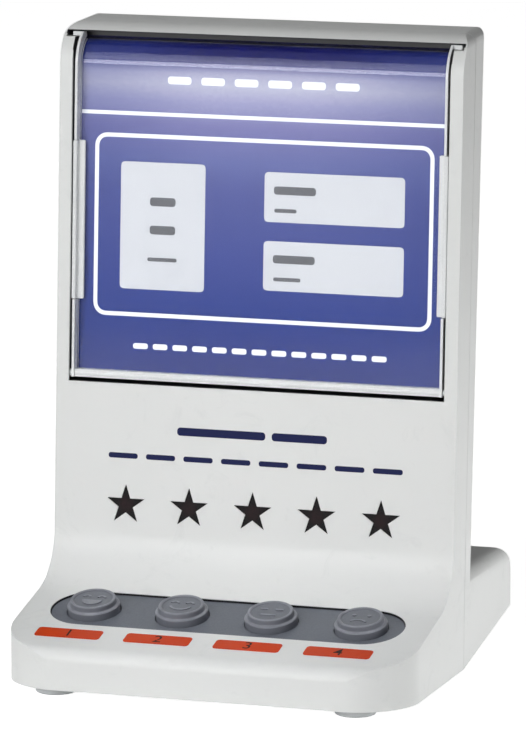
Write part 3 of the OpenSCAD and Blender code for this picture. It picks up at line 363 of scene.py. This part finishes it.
def clearSheetMaterial():
    # Clear plastic: light passes to the card behind it, faint wipe marks dull its gloss, and its top end
    # under the lip is painted dark as shade.
    material, tree, shader, place = startMaterial("clearPlastic")
    link = tree.links.new
    wipe = addNode(tree, "ShaderNodeTexNoise", values={"Scale": 35.0, "Detail": 6.0, "Distortion": 0.8})
    link(place.outputs["Object"], wipe.inputs["Vector"])
    link(rangeStep(tree, wipe.outputs["Fac"], 0.4, 0.75, 0.04, 0.07), shader.inputs["Roughness"])
    # Painted shade: the sheet's top end under the lip is painted dark navy.
    paintedEndShade = recessMask(tree, place, sheetEndPaintedShade)
    link(mixColour(tree, paintedEndShade, (0.97, 0.98, 1.0), (0.02, 0.02, 0.08)), shader.inputs["Base Color"])
    shader.inputs["Transmission Weight"].default_value = 1.0
    shader.inputs["IOR"].default_value = 1.3  # low, because the sheet's two faces both mirror
    shader.inputs["Specular IOR Level"].default_value = 0.14
    passing = tree.nodes.new("ShaderNodeBsdfTransparent")
    path = tree.nodes.new("ShaderNodeLightPath")
    mix = tree.nodes.new("ShaderNodeMixShader")
    output = next(node for node in tree.nodes if node.type == "OUTPUT_MATERIAL")
    link(path.outputs["Is Shadow Ray"], mix.inputs["Fac"])
    link(shader.outputs["BSDF"], mix.inputs[1])
    link(passing.outputs["BSDF"], mix.inputs[2])
    link(mix.outputs["Shader"], output.inputs["Surface"])
    return material


clearPlastic = clearSheetMaterial()


def smokedLensMaterial(finish):
    # Smoked plastic over a red lamp: nearly black, a dim red in the middle of each star.
    material, tree, shader, place = startMaterial("smokedLens")
    link = tree.links.new
    split = addNode(tree, "ShaderNodeSeparateXYZ")
    shift = addNode(tree, "ShaderNodeMath", {"operation": "ADD"}, {1: finish["pitch"] / 2})
    repeat = addNode(tree, "ShaderNodeMath", {"operation": "FLOORED_MODULO"}, {1: finish["pitch"]})
    centre = addNode(tree, "ShaderNodeMath", {"operation": "SUBTRACT"}, {1: finish["pitch"] / 2})
    drop = addNode(tree, "ShaderNodeMath", {"operation": "SUBTRACT"}, {1: finish["height"]})
    spot = tree.nodes.new("ShaderNodeCombineXYZ")
    reach = addNode(tree, "ShaderNodeVectorMath", {"operation": "LENGTH"})
    glow = addNode(tree, "ShaderNodeMapRange", {"interpolation_type": "SMOOTHSTEP"},
                   {"From Min": 0.0045, "From Max": 0.0008})
    cloud = addNode(tree, "ShaderNodeTexNoise", values={"Scale": 420.0, "Detail": 3.0})
    link(place.outputs["Object"], split.inputs["Vector"])
    link(split.outputs["X"], shift.inputs[0])
    link(shift.outputs["Value"], repeat.inputs[0])
    link(repeat.outputs["Value"], centre.inputs[0])
    link(split.outputs["Z"], drop.inputs[0])
    link(centre.outputs["Value"], spot.inputs["X"])
    link(drop.outputs["Value"], spot.inputs["Y"])
    link(spot.outputs["Vector"], reach.inputs[0])
    link(reach.outputs["Value"], glow.inputs["Value"])
    link(place.outputs["Object"], cloud.inputs["Vector"])
    broken = product(tree, cloud.outputs["Fac"], glow.outputs["Result"])
    smoke = mixColour(tree, broken, (0.004, 0.0025, 0.003), finish["red"])
    link(smoke, shader.inputs["Base Color"])
    shader.inputs["Roughness"].default_value = 0.12
    shader.inputs["Specular IOR Level"].default_value = 0.15
    addBump(tree, shader, cloud.outputs["Fac"], 0.000004)
    return material


smokedLens = smokedLensMaterial({"pitch": 0.026, "height": 0.0624, "red": (0.022, 0.006, 0.008)})


def circuitMaterial():
    # Coated circuit board: copper runs and pads show through the green lacquer.
    material, tree, shader, place = startMaterial("circuitBoard")
    link = tree.links.new
    runs = addNode(tree, "ShaderNodeTexBrick", values={
        "Scale": 130.0, "Mortar Size": 0.03, "Color1": (0.012, 0.10, 0.045, 1),
        "Color2": (0.015, 0.12, 0.055, 1), "Mortar": (0.03, 0.20, 0.09, 1)})
    pads = addNode(tree, "ShaderNodeTexVoronoi", values={"Scale": 260.0})
    link(place.outputs["Object"], runs.inputs["Vector"])
    link(place.outputs["Object"], pads.inputs["Vector"])
    dots = rangeStep(tree, pads.outputs["Distance"], 0.12, 0.06)
    lacquer = mixColour(tree, dots, runs.outputs["Color"], (0.55, 0.52, 0.42))
    link(lacquer, shader.inputs["Base Color"])
    addBump(tree, shader, runs.outputs["Fac"], 0.00002)
    shader.inputs["Roughness"].default_value = 0.28
    return material


circuitBoard = circuitMaterial()


def metalMaterial(name, finish):
    # Plated steel: fine drawn lines and dulled patches.
    material, tree, shader, place = startMaterial(name)
    link = tree.links.new
    stretch = addNode(tree, "ShaderNodeMapping", values={"Scale": finish["lines"]})
    lines = addNode(tree, "ShaderNodeTexNoise", values={"Scale": 1.0, "Detail": 3.0})
    patch = addNode(tree, "ShaderNodeTexNoise", values={"Scale": 160.0, "Detail": 4.0})
    link(place.outputs["Object"], stretch.inputs["Vector"])
    link(stretch.outputs["Vector"], lines.inputs["Vector"])
    link(place.outputs["Object"], patch.inputs["Vector"])
    link(rangeStep(tree, patch.outputs["Fac"], 0.0, 1.0, *finish["gloss"]), shader.inputs["Roughness"])
    plating = mixColour(tree, patch.outputs["Fac"], finish["colour"], finish["shade"])
    link(plating, shader.inputs["Base Color"])
    addBump(tree, shader, lines.outputs["Fac"], 0.000006)
    shader.inputs["Metallic"].default_value = 1.0
    return material


screwSteel = metalMaterial("screwSteel", {
    "colour": (0.56, 0.57, 0.59), "shade": (0.46, 0.47, 0.49), "gloss": (0.25, 0.4), "lines": (900, 900, 90)})
socketSteel = metalMaterial("socketSteel", {
    "colour": (0.66, 0.67, 0.69), "shade": (0.58, 0.59, 0.61), "gloss": (0.18, 0.3),
    "lines": (80, 1200, 1200)})


def lampMaterial():
    # Red lamp plastic, clouded inside.
    material, tree, shader, place = startMaterial("lampRed")
    cloud = addNode(tree, "ShaderNodeTexNoise", values={"Scale": 500.0, "Detail": 2.0})
    tree.links.new(place.outputs["Object"], cloud.inputs["Vector"])
    clouded = mixColour(tree, cloud.outputs["Fac"], (0.42, 0.012, 0.014), (0.25, 0.006, 0.01))
    tree.links.new(clouded, shader.inputs["Base Color"])
    shader.inputs["Roughness"].default_value = 0.12
    shader.inputs["Coat Weight"].default_value = 0.5
    addBump(tree, shader, cloud.outputs["Fac"], 0.000003)
    return material


lampRed = lampMaterial()


def ribbonMaterial():
    # Flat cable: the pale skin shows its row of wires.
    material, tree, shader, place = startMaterial("ribbonCable")
    link = tree.links.new
    wires = addNode(tree, "ShaderNodeTexWave", {"bands_direction": "X"}, {"Scale": 160.0, "Distortion": 0.0})
    link(place.outputs["Object"], wires.inputs["Vector"])
    skin = mixColour(tree, wires.outputs["Fac"], (0.60, 0.60, 0.58), (0.46, 0.47, 0.47))
    link(skin, shader.inputs["Base Color"])
    addBump(tree, shader, wires.outputs["Fac"], 0.00012)
    shader.inputs["Roughness"].default_value = 0.45
    return material


ribbonCable = ribbonMaterial()
print("finishes made:", len(bpy.data.materials))


def addPiece(bm, name, finish, body, stands=()):
    # Makes the object from its bmesh, gives it finish, slot and body, and hides the CAD nodes it stands for.
    mesh = bpy.data.meshes.new(name)
    bm.to_mesh(mesh)
    bm.free()
    if "custom_normal" in mesh.attributes:
        mesh.attributes.remove(mesh.attributes["custom_normal"])
    mesh.polygons.foreach_set("use_smooth", [True] * len(mesh.polygons))
    mesh.set_sharp_from_angle(angle=radians(32))
    piece = bpy.data.objects.new(name, mesh)
    bpy.context.scene.collection.objects.link(piece)
    mesh.materials.clear()
    mesh.materials.append(finish)
    weigh = piece.modifiers.new("evenNormals", "WEIGHTED_NORMAL")
    weigh.keep_sharp = True
    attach(piece, body)
    if stands:
        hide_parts(*stands)


def isSharp(edge, angle):
    return len(edge.link_faces) == 2 and edge.calc_face_angle(0) > radians(angle)


def softened(node, name, finish, body, passes):
    # A copy of a CAD node with its sharp edges rolled over.
    # Each pass is (which edges, width in millimetres, segments).
    bm = bmesh.new()
    bm.from_mesh(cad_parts[node].data)
    bmesh.ops.remove_doubles(bm, verts=bm.verts, dist=0.000003)
    bmesh.ops.dissolve_degenerate(bm, edges=bm.edges, dist=0.000001)
    bmesh.ops.dissolve_limit(bm, angle_limit=radians(0.3), verts=bm.verts, edges=bm.edges)
    for chosen, width, segments in passes:
        bm.normal_update()
        edges = [edge for edge in bm.edges if isSharp(edge, 24) and chosen(edge)]
        print(name, "edges rounded:", len(edges))
        bmesh.ops.bevel(bm, geom=edges, offset=width * 0.001, offset_type="OFFSET", segments=segments,
                        profile=0.5, affect="EDGES", clamp_overlap=True, loop_slide=True, material=-1)
    bmesh.ops.triangulate(bm, faces=[face for face in bm.faces if len(face.verts) > 4])
    addPiece(bm, name, finish, body, (node,))


def flatPrint(name, shapes, place, level, thickness, finish, body):
    # Thin printed shapes, raised off the surface that they lie on.
    bm = bmesh.new()
    for across, up, width, height, corner, line in shapes:
        part = bmesh.new()
        bmesh.ops.create_grid(part, x_segments=1, y_segments=1, size=0.5)
        bmesh.ops.scale(part, vec=(width, height, 1), verts=part.verts)
        if corner:
            bmesh.ops.bevel(part, geom=part.verts[:], offset=corner, offset_type="OFFSET", segments=6,
                            profile=0.5, affect="VERTICES", material=-1)
        if line:
            inner = part.faces[:]
            bmesh.ops.inset_region(part, faces=inner, thickness=line, use_boundary=True, use_even_offset=True)
            bmesh.ops.delete(part, geom=inner, context="FACES")
        raised = bmesh.ops.extrude_face_region(part, geom=part.faces[:])
        tops = [item for item in raised["geom"] if isinstance(item, bmesh.types.BMVert)]
        bmesh.ops.translate(part, vec=(0, 0, thickness), verts=tops)
        bmesh.ops.recalc_face_normals(part, faces=part.faces)
        bmesh.ops.translate(part, vec=(across, up, level), verts=part.verts)
        carrier = bpy.data.meshes.new("part")
        part.to_mesh(carrier)
        part.free()
        bm.from_mesh(carrier)
        bpy.data.meshes.remove(carrier)
    bmesh.ops.transform(bm, matrix=place, verts=bm.verts)
    addPiece(bm, name, finish, body)


def middle(edge):
    return (edge.verts[0].co + edge.verts[1].co) * 500  # millimetres


def anyEdge(edge):
    return True


# The front shell's rounded edges in millimetres: how wide each rounding is and where its edges lie.
shellEdges = {
    "outer": 1.1, "lip": 0.9, "mouth": 0.35,
    "halfWidth": 81.5, "corner": 24, "frontY": -76.5, "seam": 14, "footBand": 12,
    "windowHalf": 76.3, "windowLow": 107, "windowHigh": 241, "pocket": 5,
    "lipHeight": 243.6, "lipHalf": 77, "lipDepth": 7,
    "slotHalf": 72, "slotReach": 15.2, "slack": 0.2, "sideSlack": 0.15,
}


def fromFace(point):
    # Height up the upright's face and depth behind it, in millimetres.
    lean, foot = radians(housing["faceLean"]), Vector(housing["faceFoot"])
    y, z = point.y - foot.y, point.z - foot.z
    return y * sin(lean) + z * cos(lean), y * cos(lean) - z * sin(lean)


def onOutline(vert):
    # On the front shell's outer walls: the flat sides or the round front corners.
    size = shellEdges
    x, y = abs(vert.co.x) * 1000, vert.co.y * 1000
    cornerX, cornerY = size["halfWidth"] - size["corner"], size["frontY"] + size["corner"]
    if y > cornerY or x < cornerX:
        return x > size["halfWidth"] - size["sideSlack"]
    return abs(((x - cornerX) ** 2 + (y - cornerY) ** 2) ** 0.5 - size["corner"]) < size["slack"]


def outerEdge(edge):
    raised, depth = middle(edge).z > shellEdges["footBand"], fromFace(middle(edge))[1]
    return raised and depth < shellEdges["seam"] and all(onOutline(vert) for vert in edge.verts)


def lipEdge(edge):
    size = shellEdges
    height, depth = fromFace(middle(edge))
    level = abs(edge.verts[0].co.z - edge.verts[1].co.z) * 1000 < size["slack"]
    near = abs(height - size["lipHeight"]) < 2 * size["slack"] and depth < size["lipDepth"]
    return level and near and abs(middle(edge).x) < size["lipHalf"]


def mouthEdge(edge):
    size = shellEdges
    height, depth = fromFace(middle(edge))
    x = abs(middle(edge).x)
    upright = size["windowLow"] < height < size["windowHigh"] and depth < size["pocket"]
    side = abs(x - size["windowHalf"]) < size["slack"] and upright
    sill = abs(height - size["windowLow"]) < size["slack"] and depth < 0.5 and x < size["windowHalf"]
    deck = onDeck.inverted() @ (middle(edge) * 0.001)
    inSlot = abs(deck.x) < size["slotHalf"] and abs(deck.y) < size["slotReach"]
    return side or sill or (inSlot and abs(deck.z) < size["slack"] / 2)


softened("front_shell", "frontShellSoft", shellPlastic, "housing",
         [(outerEdge, shellEdges["outer"], 4), (lipEdge, shellEdges["lip"], 3),
          (mouthEdge, shellEdges["mouth"], 2)])
softened("rear_shell", "rearShellSoft", shellPlastic, "housing", [])
print("shells softened")

holderRounding = {"carrier": 0.2, "clip": 0.5}
softened("card_carrier", "cardCarrierSoft", holderPlastic, "card_holder",
         [(anyEdge, holderRounding["carrier"], 2)])
for side in ("left", "right"):
    softened(side + "_card_clip", side + "CardClipSoft", holderPlastic, "card_holder",
             [(anyEdge, holderRounding["clip"], 3)])

# The clear sheet: heights up the face, depth behind it, and the bend at its top.
coverSheet = {"foot": 111.75, "bend": 230.19, "radius": 11.3, "sweep": 67, "depth": 4.3, "thickness": 0.9,
              "width": 148.3, "rim": 0.12}


def makeCover(size):
    bm = bmesh.new()
    ends = [bm.verts.new((side * size["width"] / 2, size["foot"], -size["depth"])) for side in (-1, 1)]
    foot = bm.edges.new(ends)
    risen = bmesh.ops.extrude_edge_only(bm, edges=[foot])
    tops = [item for item in risen["geom"] if isinstance(item, bmesh.types.BMVert)]
    bmesh.ops.translate(bm, vec=(0, size["bend"] - size["foot"], 0), verts=tops)
    topEdge = [edge for edge in bm.edges if all(vert in tops for vert in edge.verts)]
    centre = (0, size["bend"], -size["depth"] - size["radius"])
    bmesh.ops.spin(bm, geom=topEdge + tops, cent=centre, axis=(1, 0, 0),
                   angle=radians(-size["sweep"]), steps=16, use_merge=False)
    bmesh.ops.remove_doubles(bm, verts=bm.verts, dist=0.001)
    bmesh.ops.recalc_face_normals(bm, faces=bm.faces)
    if bm.faces[0].normal.z > 0:
        bmesh.ops.reverse_faces(bm, faces=bm.faces)
    bmesh.ops.solidify(bm, geom=bm.faces[:], thickness=size["thickness"])
    bmesh.ops.recalc_face_normals(bm, faces=bm.faces)
    rims = [edge for edge in bm.edges if isSharp(edge, 60)]
    bmesh.ops.bevel(bm, geom=rims, offset=size["rim"], offset_type="OFFSET", segments=2, profile=0.5,
                    affect="EDGES", material=-1)
    bmesh.ops.transform(bm, matrix=onFace, verts=bm.verts)
    addPiece(bm, "clearCover", clearPlastic, "card_holder", ("clear_sheet",))


makeCover(coverSheet)

# Printed shapes on the card, each of them
# (across, up, width, height, corner radius, line width or 0 for a filled one).
cardPrint = {
    "level": -5.29, "thickness": 0.05, "markLevel": -5.235, "markThickness": 0.03,
    "lines": [(0.45, 168.55, 137.5, 71.3, 5.0, 1.6), (0, 212.05, 148, 1.5, 0, 0)],
    "fields": [(-40.2, 168.5, 34.6, 49.6, 1.6, 0), (29.45, 181.95, 56.5, 19.3, 1.6, 0),
               (29.45, 155.3, 56.5, 19.2, 1.6, 0)],
    "marks": [(-40.2, 178, 10.5, 3.4, 1.2, 0), (-40.2, 167, 10.5, 3.4, 1.2, 0),
              (-40.2, 155.5, 12, 1.5, 0.6, 0), (13.5, 184.6, 17, 3.2, 1.2, 0), (9.8, 176.8, 9, 1.5, 0.6, 0),
              (13.5, 158.0, 17, 3.2, 1.2, 0), (10.8, 150.2, 11, 1.5, 0.6, 0)],
    "headDashes": [(-34 + 13.6 * i, 225.4, 9.6, 3.0, 1.2, 0) for i in range(6)],
    "footDashes": [(-48.6 + 8.1 * i, 121.4, 6.0, 2.2, 0.9, 0) for i in range(13)],
}
flatPrint("cardPrintWhite", cardPrint["lines"] + cardPrint["headDashes"] + cardPrint["footDashes"], onFace,
          cardPrint["level"], cardPrint["thickness"], whiteInk, "card_holder")
flatPrint("cardPrintFields", cardPrint["fields"], onFace, cardPrint["level"], cardPrint["thickness"],
          fieldInk, "card_holder")
flatPrint("cardPrintDark", cardPrint["marks"], onFace, cardPrint["markLevel"], cardPrint["markThickness"],
          greyInk, "card_holder")
print("card holder made")

# Plain dashes stand for the print on the upright.
panelPrint = {"level": 0.0, "thickness": 0.03,
              "upper": [(-13.2, 89.5, 36, 3.2, 1.3, 0), (18.6, 89.5, 22.4, 3.2, 1.3, 0)],
              "lower": [(-53.3 + 15.4 * i, 78.8, 12, 2.1, 0.9, 0) for i in range(8)]}
flatPrint("panelPrint", panelPrint["upper"] + panelPrint["lower"], onFace, panelPrint["level"],
          panelPrint["thickness"], navyInk, "housing")

softened("keypad_bezel", "keypadBezelSoft", bezelPlastic, "housing", [])
softened("button_labels", "buttonLabelsSoft", labelFilm, "housing", [(anyEdge, 0.09, 2)])

labelDigits = {"size": 7.6, "bolder": 0.02, "forward": -23.4, "across": (-56, -20, 16, 52), "level": 0.25,
               "thickness": 0.04}


def makeDigits(digits):
    bm = bmesh.new()
    for number, across in enumerate(digits["across"], start=1):
        words = bpy.data.curves.new("digit", "FONT")
        words.body, words.size = str(number), digits["size"]
        words.align_x, words.align_y = "CENTER", "CENTER"
        words.extrude, words.offset = digits["thickness"] / 2, digits["bolder"]
        holder = bpy.data.objects.new("digit", words)
        bpy.context.scene.collection.objects.link(holder)
        shape = bpy.data.meshes.new_from_object(holder.evaluated_get(bpy.context.evaluated_depsgraph_get()))
        lift = digits["level"] + digits["thickness"] / 2
        shape.transform(Matrix.Translation((across, digits["forward"], lift)))
        bm.from_mesh(shape)
        bpy.data.objects.remove(holder)
        bpy.data.meshes.remove(shape)
    bmesh.ops.remove_doubles(bm, verts=bm.verts, dist=0.0001)
    bmesh.ops.transform(bm, matrix=onDeck, verts=bm.verts)
    addPiece(bm, "labelDigits", digitInk, "housing")


makeDigits(labelDigits)
print("keypad made")

# Finishes of the CAD pieces that stay as they are.
nodeFinishes = {
    shellPlastic: ["bottom_plate"],
    cardBlue: ["info_card"],
    smokedLens: ["star_lens"],
    keyPlastic: ["laugh_button", "smile_button", "calm_button", "frown_button"],
    footRubber: ["rubber_feet"],
    siliconeRubber: ["keypad_mat"],
    carbonRubber: ["laugh_contact", "smile_contact", "calm_contact", "frown_contact"],
    innerBlack: ["light_baffle", "main_chips", "speaker"],
    circuitBoard: ["lamp_board", "keypad_board", "main_board", "socket_board"],
    lampRed: ["star_leds"],
    canSleeve: ["main_capacitors"],
    plugPlastic: ["board_connectors"],
    socketSteel: ["data_socket"],
    screwSteel: ["lamp_board_screws", "keypad_board_screws", "main_board_screws", "speaker_screws",
                 "rear_shell_screws", "bottom_plate_screws"],
    ribbonCable: ["lamp_cable", "keypad_cable", "socket_cable", "speaker_cable"],
}
for finish, names in nodeFinishes.items():
    for name in names:
        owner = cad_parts[name]
        if not owner.material_slots:
            owner.data.materials.append(finish)
        for place in owner.material_slots:
            place.material = finish
print("CAD pieces finished")

stage = {"floor": (0.90, 0.90, 0.895), "floorSize": 12.0, "glow": 0.88}


def makeFloor(size):
    bm = bmesh.new()
    bmesh.ops.create_grid(bm, x_segments=2, y_segments=2, size=size["floorSize"] / 2)
    mesh = bpy.data.meshes.new("paleFloor")
    bm.to_mesh(mesh)
    bm.free()
    floor = bpy.data.objects.new("paleFloor", mesh)
    bpy.context.scene.collection.objects.link(floor)
    material, tree, shader, place = startMaterial("floorPaper")
    shader.inputs["Base Color"].default_value = (*size["floor"], 1)
    shader.inputs["Roughness"].default_value = 0.9
    path = tree.nodes.new("ShaderNodeLightPath")
    seen = addNode(tree, "ShaderNodeMath", {"operation": "ADD", "use_clamp": True})
    through = addNode(tree, "ShaderNodeMath", {"operation": "ADD", "use_clamp": True})
    lift = addNode(tree, "ShaderNodeMath", {"operation": "MULTIPLY"}, {1: size["glow"]})
    tree.links.new(path.outputs["Is Camera Ray"], seen.inputs[0])
    tree.links.new(path.outputs["Is Glossy Ray"], seen.inputs[1])
    tree.links.new(seen.outputs["Value"], through.inputs[0])
    tree.links.new(path.outputs["Is Transmission Ray"], through.inputs[1])
    tree.links.new(through.outputs["Value"], lift.inputs[0])
    tree.links.new(lift.outputs["Value"], shader.inputs["Emission Strength"])
    shader.inputs["Emission Color"].default_value = (1, 1, 1, 1)
    mesh.materials.append(material)


makeFloor(stage)


def makeWorld(light):
    # White where the camera looks past the object and in mirrored light near the horizon. As light it is
    # bright low down and dim above.
    world = bpy.data.worlds.new("studio")
    bpy.context.scene.world = world
    world.use_nodes = True
    tree = world.node_tree
    tree.nodes.clear()
    link = tree.links.new
    output = tree.nodes.new("ShaderNodeOutputWorld")
    background = tree.nodes.new("ShaderNodeBackground")
    direction = tree.nodes.new("ShaderNodeTexCoord")
    split = tree.nodes.new("ShaderNodeSeparateXYZ")
    ramp = tree.nodes.new("ShaderNodeValToRGB")
    fillRamp(ramp, [(position, (level,) * 3) for position, level in light["stops"]])
    path = tree.nodes.new("ShaderNodeLightPath")
    seen = addNode(tree, "ShaderNodeMath", {"operation": "MAXIMUM"})
    link(direction.outputs["Generated"], split.inputs["Vector"])
    link(rangeStep(tree, split.outputs["Z"], -0.2, 1.0), ramp.inputs["Fac"])
    link(path.outputs["Is Camera Ray"], seen.inputs[0])
    link(path.outputs["Is Transmission Ray"], seen.inputs[1])
    horizon = rangeStep(tree, split.outputs["Z"], 0.22, 0.1)
    either = addNode(tree, "ShaderNodeMath", {"operation": "MAXIMUM"})
    link(seen.outputs["Value"], either.inputs[0])
    link(product(tree, horizon, path.outputs["Is Glossy Ray"]), either.inputs[1])
    white = mixColour(tree, either.outputs["Value"], ramp.outputs["Color"], (1.0, 1.0, 1.0))
    link(white, background.inputs["Color"])
    link(background.outputs["Background"], output.inputs["Surface"])


makeWorld({"stops": [(0.0, 0.42), (0.16, 0.47), (0.24, 0.42), (0.36, 0.235), (0.55, 0.094), (1.0, 0.047)]})


def addSoftbox(name, azimuth, elevation, distance, width, height, power,
               aim=(0, 0, 0.12), spread=180, mirrored=False):
    lamp = bpy.data.lights.new(name, "AREA")
    lamp.shape, lamp.size, lamp.size_y, lamp.energy = "RECTANGLE", width, height, power
    lamp.spread = radians(spread)
    box = bpy.data.objects.new(name, lamp)
    bpy.context.scene.collection.objects.link(box)
    a, e = radians(azimuth), radians(elevation)
    away = Vector((sin(a) * cos(e), -cos(a) * cos(e), sin(e)))
    box.location = Vector(aim) + away * distance
    box.rotation_euler = (-away).to_track_quat("-Z", "Y").to_euler()
    box.visible_camera = False
    box.visible_glossy = mirrored


# Each lamp has azimuth, elevation, distance, width, height and power.
addSoftbox("keySoftbox", -22, 16, 1.9, 1.2, 0.45, 12.3, mirrored=True)
addSoftbox("upperSoftbox", -10, 40, 1.9, 1.0, 0.8, 9.8)
addSoftbox("deckSoftbox", -4, 68, 0.75, 0.2, 0.12, 0.043, (0, -0.045, 0.03), 24)
addSoftbox("sideSoftbox", 98, 2, 0.25, 0.35, 0.06, 0.62, (0.08, 0.02, 0.0))

view = {"target": (0, 0.0057, 0.1181), "azimuth": 18.285, "elevation": 9.78, "distance": 2.2006,
        "lens": 279.6}
lens = bpy.data.cameras.new("camera")
lens.lens, lens.sensor_width, lens.clip_start, lens.clip_end = view["lens"], 36, 0.1, 50
camera = bpy.data.objects.new("camera", lens)
bpy.context.scene.collection.objects.link(camera)
turn, tilt = radians(view["azimuth"]), radians(view["elevation"])
back = Vector((sin(turn) * cos(tilt), -cos(turn) * cos(tilt), sin(tilt)))
camera.location = Vector(view["target"]) + back * view["distance"]
camera.rotation_euler = (-back).to_track_quat("-Z", "Y").to_euler()
bpy.context.scene.camera = camera
bpy.context.scene.view_settings.view_transform = "Standard"
print("stage, light and camera set")
